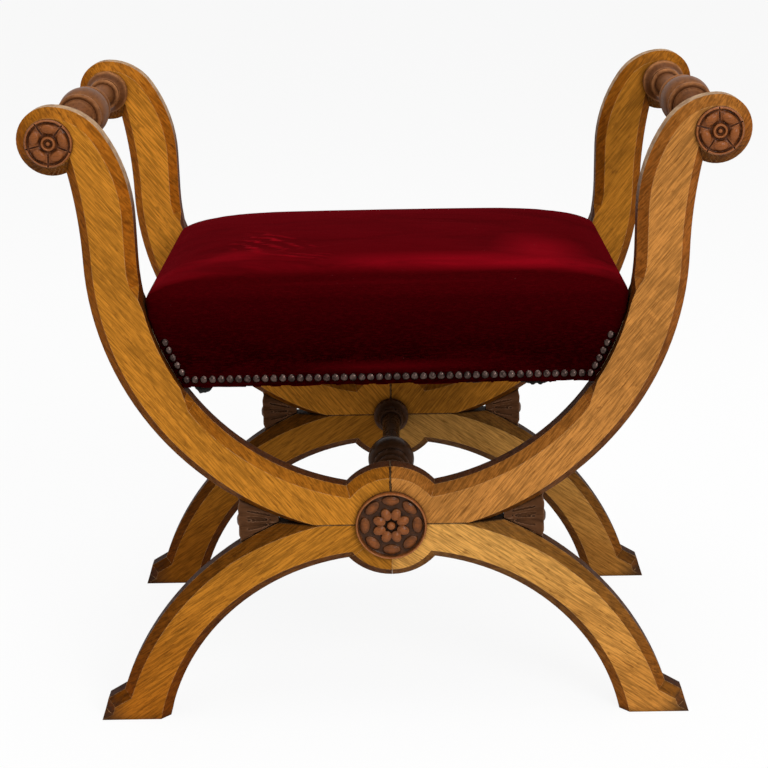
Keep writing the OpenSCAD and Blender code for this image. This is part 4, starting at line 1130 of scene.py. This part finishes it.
class VelvetSeat(bpy.types.Operator):
    """Velvet drawn over the stuffing, swelled by a cloth simulation and open below"""

    bl_idname = "bench.velvet_seat"
    bl_label = "Velvet seat"

    cloth = {
        "quality": 6, "use_pressure": True, "uniform_pressure_force": 4.0, "tension_stiffness": 15,
        "compression_stiffness": 10, "bending_stiffness": 0.5, "mass": 0.3,
    }
    cloth_frames = 10
    held_rise = 0.008
    most_sunk = 0.0006
    pull_z, pull_run = SHOULDER_Z - 0.004, 0.030
    square_z, square_run = SHOULDER_Z - 0.010, 0.020
    square_zone, face_zone = 0.006, 0.006
    open_z = SEAT_LOW.z + 0.004
    side_room = 0.004
    fold_rise, fold_half, fold_run, fold_depth = 0.013, 0.009, 0.16, 0.0022
    hem_drop, hem_wave, hem_fall = 0.003, 0.0010, 0.0014

    def execute(self, context):
        sizes = context.scene.bench_sizes
        pad = seat_form("velvet")
        block = copy_of(pad, "seat_block", Matrix.Identity(4))
        apply_modifier(pad, "REMESH", mode="VOXEL", voxel_size=sizes.velvet_grid)
        self.stuff(pad, sizes.velvet_swell)
        apply_modifier(pad, "SUBSURF", levels=1, render_levels=1)
        self.square_up(pad, block)
        self.draw_in(pad)
        choose_faces(pad, lambda centre, normal: normal.z < -0.7 and centre.z < self.open_z)
        bpy.ops.mesh.delete(type="FACE")
        bpy.ops.object.mode_set(mode="OBJECT")
        apply_modifier(pad, "SOLIDIFY", thickness=sizes.velvet_thickness, offset=-1.0)
        smooth(pad)
        dress(pad, velvet_finish("velvet_pile"), "velvet", "velvet_cover")
        return {"FINISHED"}

    def stuff(self, pad, most):
        """Swells the pad with pressure, then keeps a share of the swelling, square to the surface."""
        rest = np.array([v.co for v in pad.data.vertices])
        out = np.array([v.normal for v in pad.data.vertices])
        hem = pad.vertex_groups.new(name="held")
        hem.add([v.index for v in pad.data.vertices if v.co.z < NAIL_Z + self.held_rise], 1.0, "REPLACE")
        cloth = pad.modifiers.new("Cloth", "CLOTH")
        for key, value in self.cloth.items():
            setattr(cloth.settings, key, value)
        cloth.settings.vertex_group_mass = hem.name
        cloth.settings.effector_weights.gravity = 0.0
        cloth.point_cache.frame_end = self.cloth_frames
        for step in range(1, self.cloth_frames + 1):
            bpy.context.scene.frame_set(step)
        pick(pad)
        bpy.ops.object.modifier_apply(modifier=cloth.name)
        bpy.context.scene.frame_set(1)
        moved = np.array([v.co for v in pad.data.vertices])
        swell = np.einsum("ij,ij->i", moved - rest, out)
        swell = np.clip(swell * most / swell.max(), -self.most_sunk, most)
        pad.data.vertices.foreach_set("co", (rest + out * swell[:, None]).ravel())
        pad.data.update()

    def square_up(self, pad, block):
        """Pulls the seat's sides out to the corners that the mesh has rounded off."""
        sides = pad.vertex_groups.new(name="sides")
        for vertex in pad.data.vertices:
            sides.add([vertex.index], held((self.pull_z - vertex.co.z) / self.pull_run), "REPLACE")
        apply_modifier(pad, "SHRINKWRAP", target=block, vertex_group=sides.name)
        remove(block)
        zone = self.square_zone
        for vertex in pad.data.vertices:
            co = vertex.co
            share = held((self.square_z - co.z) / self.square_run)
            inner = (seat_reach(co.z) - zone, SEAT_HIGH.y - zone)
            out = [(abs(c) - i) / zone for c, i in zip(co.xy, inner)]
            if min(out) > 0 and share > 0:
                squarer = 1 + share * (math.hypot(*out) / max(out) - 1)
                for axis in (0, 1):
                    co[axis] = math.copysign(inner[axis] + zone * min(1.0, out[axis] * squarer), co[axis])

    def draw_in(self, pad):
        """Keeps the cloth between the arms, and puts a soft fold over the nails and a wave in the hem."""
        for vertex in pad.data.vertices:
            co = vertex.co
            limit = seat_reach(co.z) + SIDE_GAP * 0.5
            if abs(co.y) < ARM_IN - self.side_room:
                limit += self.side_room
            co.x = max(-limit, min(limit, co.x))
            fold = near(co.z - NAIL_Z - self.fold_rise, self.fold_half) * near(co.x, self.fold_run)
            if abs(co.y) > SEAT_HIGH.y - self.face_zone:
                co.y += math.copysign(self.fold_depth * fold, co.y)
            if co.z < NAIL_Z - self.hem_drop:
                co.z += self.hem_wave * noise.noise(Vector((co.x * 60, co.y * 60, 0.0))) - self.hem_fall


class SeatInside(bpy.types.Operator):
    """What lies under the velvet: beech rails, webbing, hessian and the stuffing"""

    bl_idname = "bench.seat_inside"
    bl_label = "Inside of the seat"

    web_thread, hessian_thread, stuffing_thread = 0.0022, 0.0016, 0.009
    hessian_grid, hessian_lie, lie_scale = (60, 44), 0.0003, 40
    stuffing_inset, stuffing_voxel, stuffing_sunk = 0.0020, 0.008, 0.0030
    lump, lump_scale = 0.001, 55

    def execute(self, context):
        colours = context.scene.bench_colours
        finish_nodes(SEAT_TIMBER + DOWELS, beech_finish("seat_beech", colours.beech))
        finish_nodes(IRONWORK, iron_finish("blued_iron"))
        finish_nodes(WEBBING, woven_finish("jute_webbing", colours.jute, self.web_thread))
        self.hessian(woven_finish("hessian_weave", colours.jute, self.hessian_thread, 0.7))
        self.stuffing(woven_finish("stuffing_fibre", colours.jute, self.stuffing_thread, 0.2, 0.8))
        return {"FINISHED"}

    def hessian(self, material):
        """Sheet of hessian that lies on the webbing, uneven where the webs cross."""
        low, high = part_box("hessian")
        sheet = flat_sheet("hessian_sheet", *self.hessian_grid, high - low, (low.z + high.z) / 2)
        for vertex in sheet.data.vertices:
            vertex.co.z += self.hessian_lie * noise.noise(vertex.co * self.lie_scale)
        apply_modifier(sheet, "SOLIDIFY", thickness=(high.z - low.z) * 0.8, offset=0.0)
        dress(sheet, material, "jute", "hessian")

    def stuffing(self, material):
        """Pad of hair and flock, with a slightly lumpy surface."""
        pad = seat_form("stuffing_pad", self.stuffing_inset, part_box("stuffing")[0].z)
        apply_modifier(pad, "REMESH", mode="VOXEL", voxel_size=self.stuffing_voxel)
        for vertex in pad.data.vertices:
            lump = self.lump * noise.noise(vertex.co * self.lump_scale)
            vertex.co -= vertex.normal * (self.stuffing_sunk + lump)
        smooth(pad)
        dress(pad, material, "stuffing", "stuffing")


class UnderCloth(bpy.types.Operator):
    """Black cloth tacked under the seat, sagging a little and torn along its front edge"""

    bl_idname = "bench.under_cloth"
    bl_label = "Cloth under the seat"

    # Where each torn scrap hangs, its half width and its share of the longest one's drop.
    scraps = ((-0.185, 0.009, 1.0), (0.149, 0.019, 0.45), (0.085, 0.012, 0.2))
    grid, thread, thickness = (220, 110), 0.0007, 0.0005
    sag_run, ripple = 0.06, 0.12
    torn_edge, lean_back = 0.010, 0.18

    def execute(self, context):
        sizes = context.scene.bench_sizes
        low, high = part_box("bottom_cloth")
        wide, deep = high.x - low.x, high.y - low.y
        sheet = flat_sheet("under_cloth", *self.grid, high - low, low.z)
        rail = extent("front_seat_rail").y
        for vertex in sheet.data.vertices:
            co = vertex.co
            pull = eased((wide / 2 - rail - abs(co.x)) / self.sag_run)
            pull *= eased((deep / 2 - rail - abs(co.y)) / self.sag_run)
            ripple = self.ripple * noise.noise(Vector((co.x * 24, co.y * 18, 2.0)))
            co.z -= sizes.cloth_sag * pull * (1.0 + ripple)
            edge = near(co.y + deep / 2, self.torn_edge)
            for place, half, share in self.scraps:
                frayed = 0.8 + 0.5 * noise.noise(Vector((co.x * 260, place, 1.0)))
                hang = edge * near(co.x - place, half) ** 0.5 * sizes.cloth_tear * share * frayed
                co.z -= hang
                co.y += hang * self.lean_back
        apply_modifier(sheet, "SOLIDIFY", thickness=self.thickness, offset=0.0)
        smooth(sheet)
        black = context.scene.bench_colours.black_cloth
        cloth = woven_finish("black_cotton", black, self.thread, 0.5, 0.5)
        dress(sheet, cloth, "black_cloth", "bottom_cloth")
        return {"FINISHED"}


class CoverNails(bpy.types.Operator):
    """Old brass of the close rows of cover nails"""

    bl_idname = "bench.cover_nails"
    bl_label = "Cover nails"

    def execute(self, context):
        finish_nodes(COVER_NAILS, brass_finish("old_brass"))
        return {"FINISHED"}


class StageSetting(bpy.types.Operator):
    """White floor, soft lights and the camera"""

    bl_idname = "bench.stage_setting"
    bl_label = "Stage and camera"

    # Where each soft light hangs, where it aims and its two sides.
    top_light = (0.05, -0.1, 2.4), (0.0, 0.0, 0.35), (2.2, 1.8)
    key_light = (1.5, -2.3, 1.9), (0.0, 0.0, 0.3), (1.4, 1.4)
    sensor = 36.0
    floor_side = 60.0
    floor_pale, white = (0.86, 0.86, 0.86, 1.0), (1.0, 1.0, 1.0, 1.0)
    floor_white_share = 0.90

    def execute(self, context):
        stage = context.scene.bench_stage
        self.floor()
        self.sky(context.scene, stage.sky)
        self.soft_light("top_light", stage.top_power, *self.top_light)
        self.soft_light("key_light", stage.key_power, *self.key_light)
        camera = bpy.data.cameras.new("camera")
        camera.lens = stage.lens
        camera.sensor_width = self.sensor
        eye = bpy.data.objects.new("camera", camera)
        context.scene.collection.objects.link(eye)
        eye.matrix_world = (
            Matrix.Translation(stage.camera_place)
            @ spin(stage.camera_turn)
            @ Matrix.Rotation(math.pi / 2 - stage.camera_tilt, 4, "X")
            @ spin(stage.camera_roll)
        )
        context.scene.camera = eye
        context.scene.view_settings.view_transform = "Standard"
        return {"FINISHED"}

    def seen(self, tree):
        """1 for the rays that should find plain white: the camera's, mirrors' and glass's."""
        rays = node(tree, "LightPath").outputs
        direct = maths("MAXIMUM", rays["Is Camera Ray"], rays["Is Glossy Ray"])
        return maths("MAXIMUM", direct, rays["Is Transmission Ray"])

    def floor(self):
        """Plain pale floor that keeps the bench's shadow."""
        deselect()
        bpy.ops.mesh.primitive_plane_add(size=self.floor_side, location=(0.0, 0.0, 0.0))
        floor = new_piece("floor")
        material, tree = new_tree("white_floor")
        plain = node(tree, "BsdfDiffuse", {"Color": self.floor_pale, "Roughness": 0.5})
        white = node(tree, "Emission", {"Color": self.white, "Strength": 1.0})
        factor = times(self.seen(tree), self.floor_white_share)
        mix = node(tree, "MixShader", {0: factor, 1: plain.outputs[0], 2: white.outputs[0]})
        node(tree, "OutputMaterial", {"Surface": mix.outputs[0]})
        floor.data.materials.append(material)

    def sky(self, scene, strength):
        """Even light all round, plain white where it is seen."""
        world = bpy.data.worlds.new("white_room")
        world.use_nodes = True
        tree = world.node_tree
        tree.nodes.clear()
        level = fade(self.seen(tree), 0.0, 1.0, strength, 1.0)
        light = node(tree, "Background", {"Color": self.white, "Strength": level})
        node(tree, "OutputWorld", {"Surface": light.outputs[0]})
        scene.world = world

    def soft_light(self, name, power, place, aim, sides):
        """Rectangular lamp that looks at a point."""
        lamp = bpy.data.lights.new(name, "AREA")
        lamp.shape = "RECTANGLE"
        lamp.size, lamp.size_y = sides
        lamp.energy = power
        holder = bpy.data.objects.new(name, lamp)
        bpy.context.scene.collection.objects.link(holder)
        holder.location = place
        holder.rotation_euler = (Vector(place) - Vector(aim)).to_track_quat("Z", "Y").to_euler()


# ---------------------------------------------------------------- Panel and registration

STEPS = (
    FrameFinish, RailFinish, BossRosettes, ScrollRosettes, LeafBrackets, VelvetSeat, SeatInside, UnderCloth,
    CoverNails, StageSetting,
)


class BenchPanel(bpy.types.Panel):
    """The bench's pieces, in the order in which they are made"""

    bl_idname = "VIEW3D_PT_bench"
    bl_label = "Curule bench"
    bl_space_type = "VIEW_3D"
    bl_region_type = "UI"
    bl_category = "Bench"

    def draw(self, context):
        for step in STEPS:
            self.layout.operator(step.bl_idname)
        for group in ("bench_sizes", "bench_colours", "bench_stage"):
            holder = getattr(context.scene, group)
            for name in holder.__annotations__:
                self.layout.prop(holder, name)


CLASSES = (BenchSizes, BenchColours, BenchStage) + STEPS + (BenchPanel,)


def register():
    for cls in CLASSES:
        bpy.utils.register_class(cls)
    bpy.types.Scene.bench_sizes = bpy.props.PointerProperty(type=BenchSizes)
    bpy.types.Scene.bench_colours = bpy.props.PointerProperty(type=BenchColours)
    bpy.types.Scene.bench_stage = bpy.props.PointerProperty(type=BenchStage)


def unregister():
    del bpy.types.Scene.bench_stage
    del bpy.types.Scene.bench_colours
    del bpy.types.Scene.bench_sizes
    for cls in reversed(CLASSES):
        bpy.utils.unregister_class(cls)


def main():
    register()
    for step in STEPS:
        group, name = step.bl_idname.split(".")
        getattr(getattr(bpy.ops, group), name)()


if __name__ == "__main__":
    main()
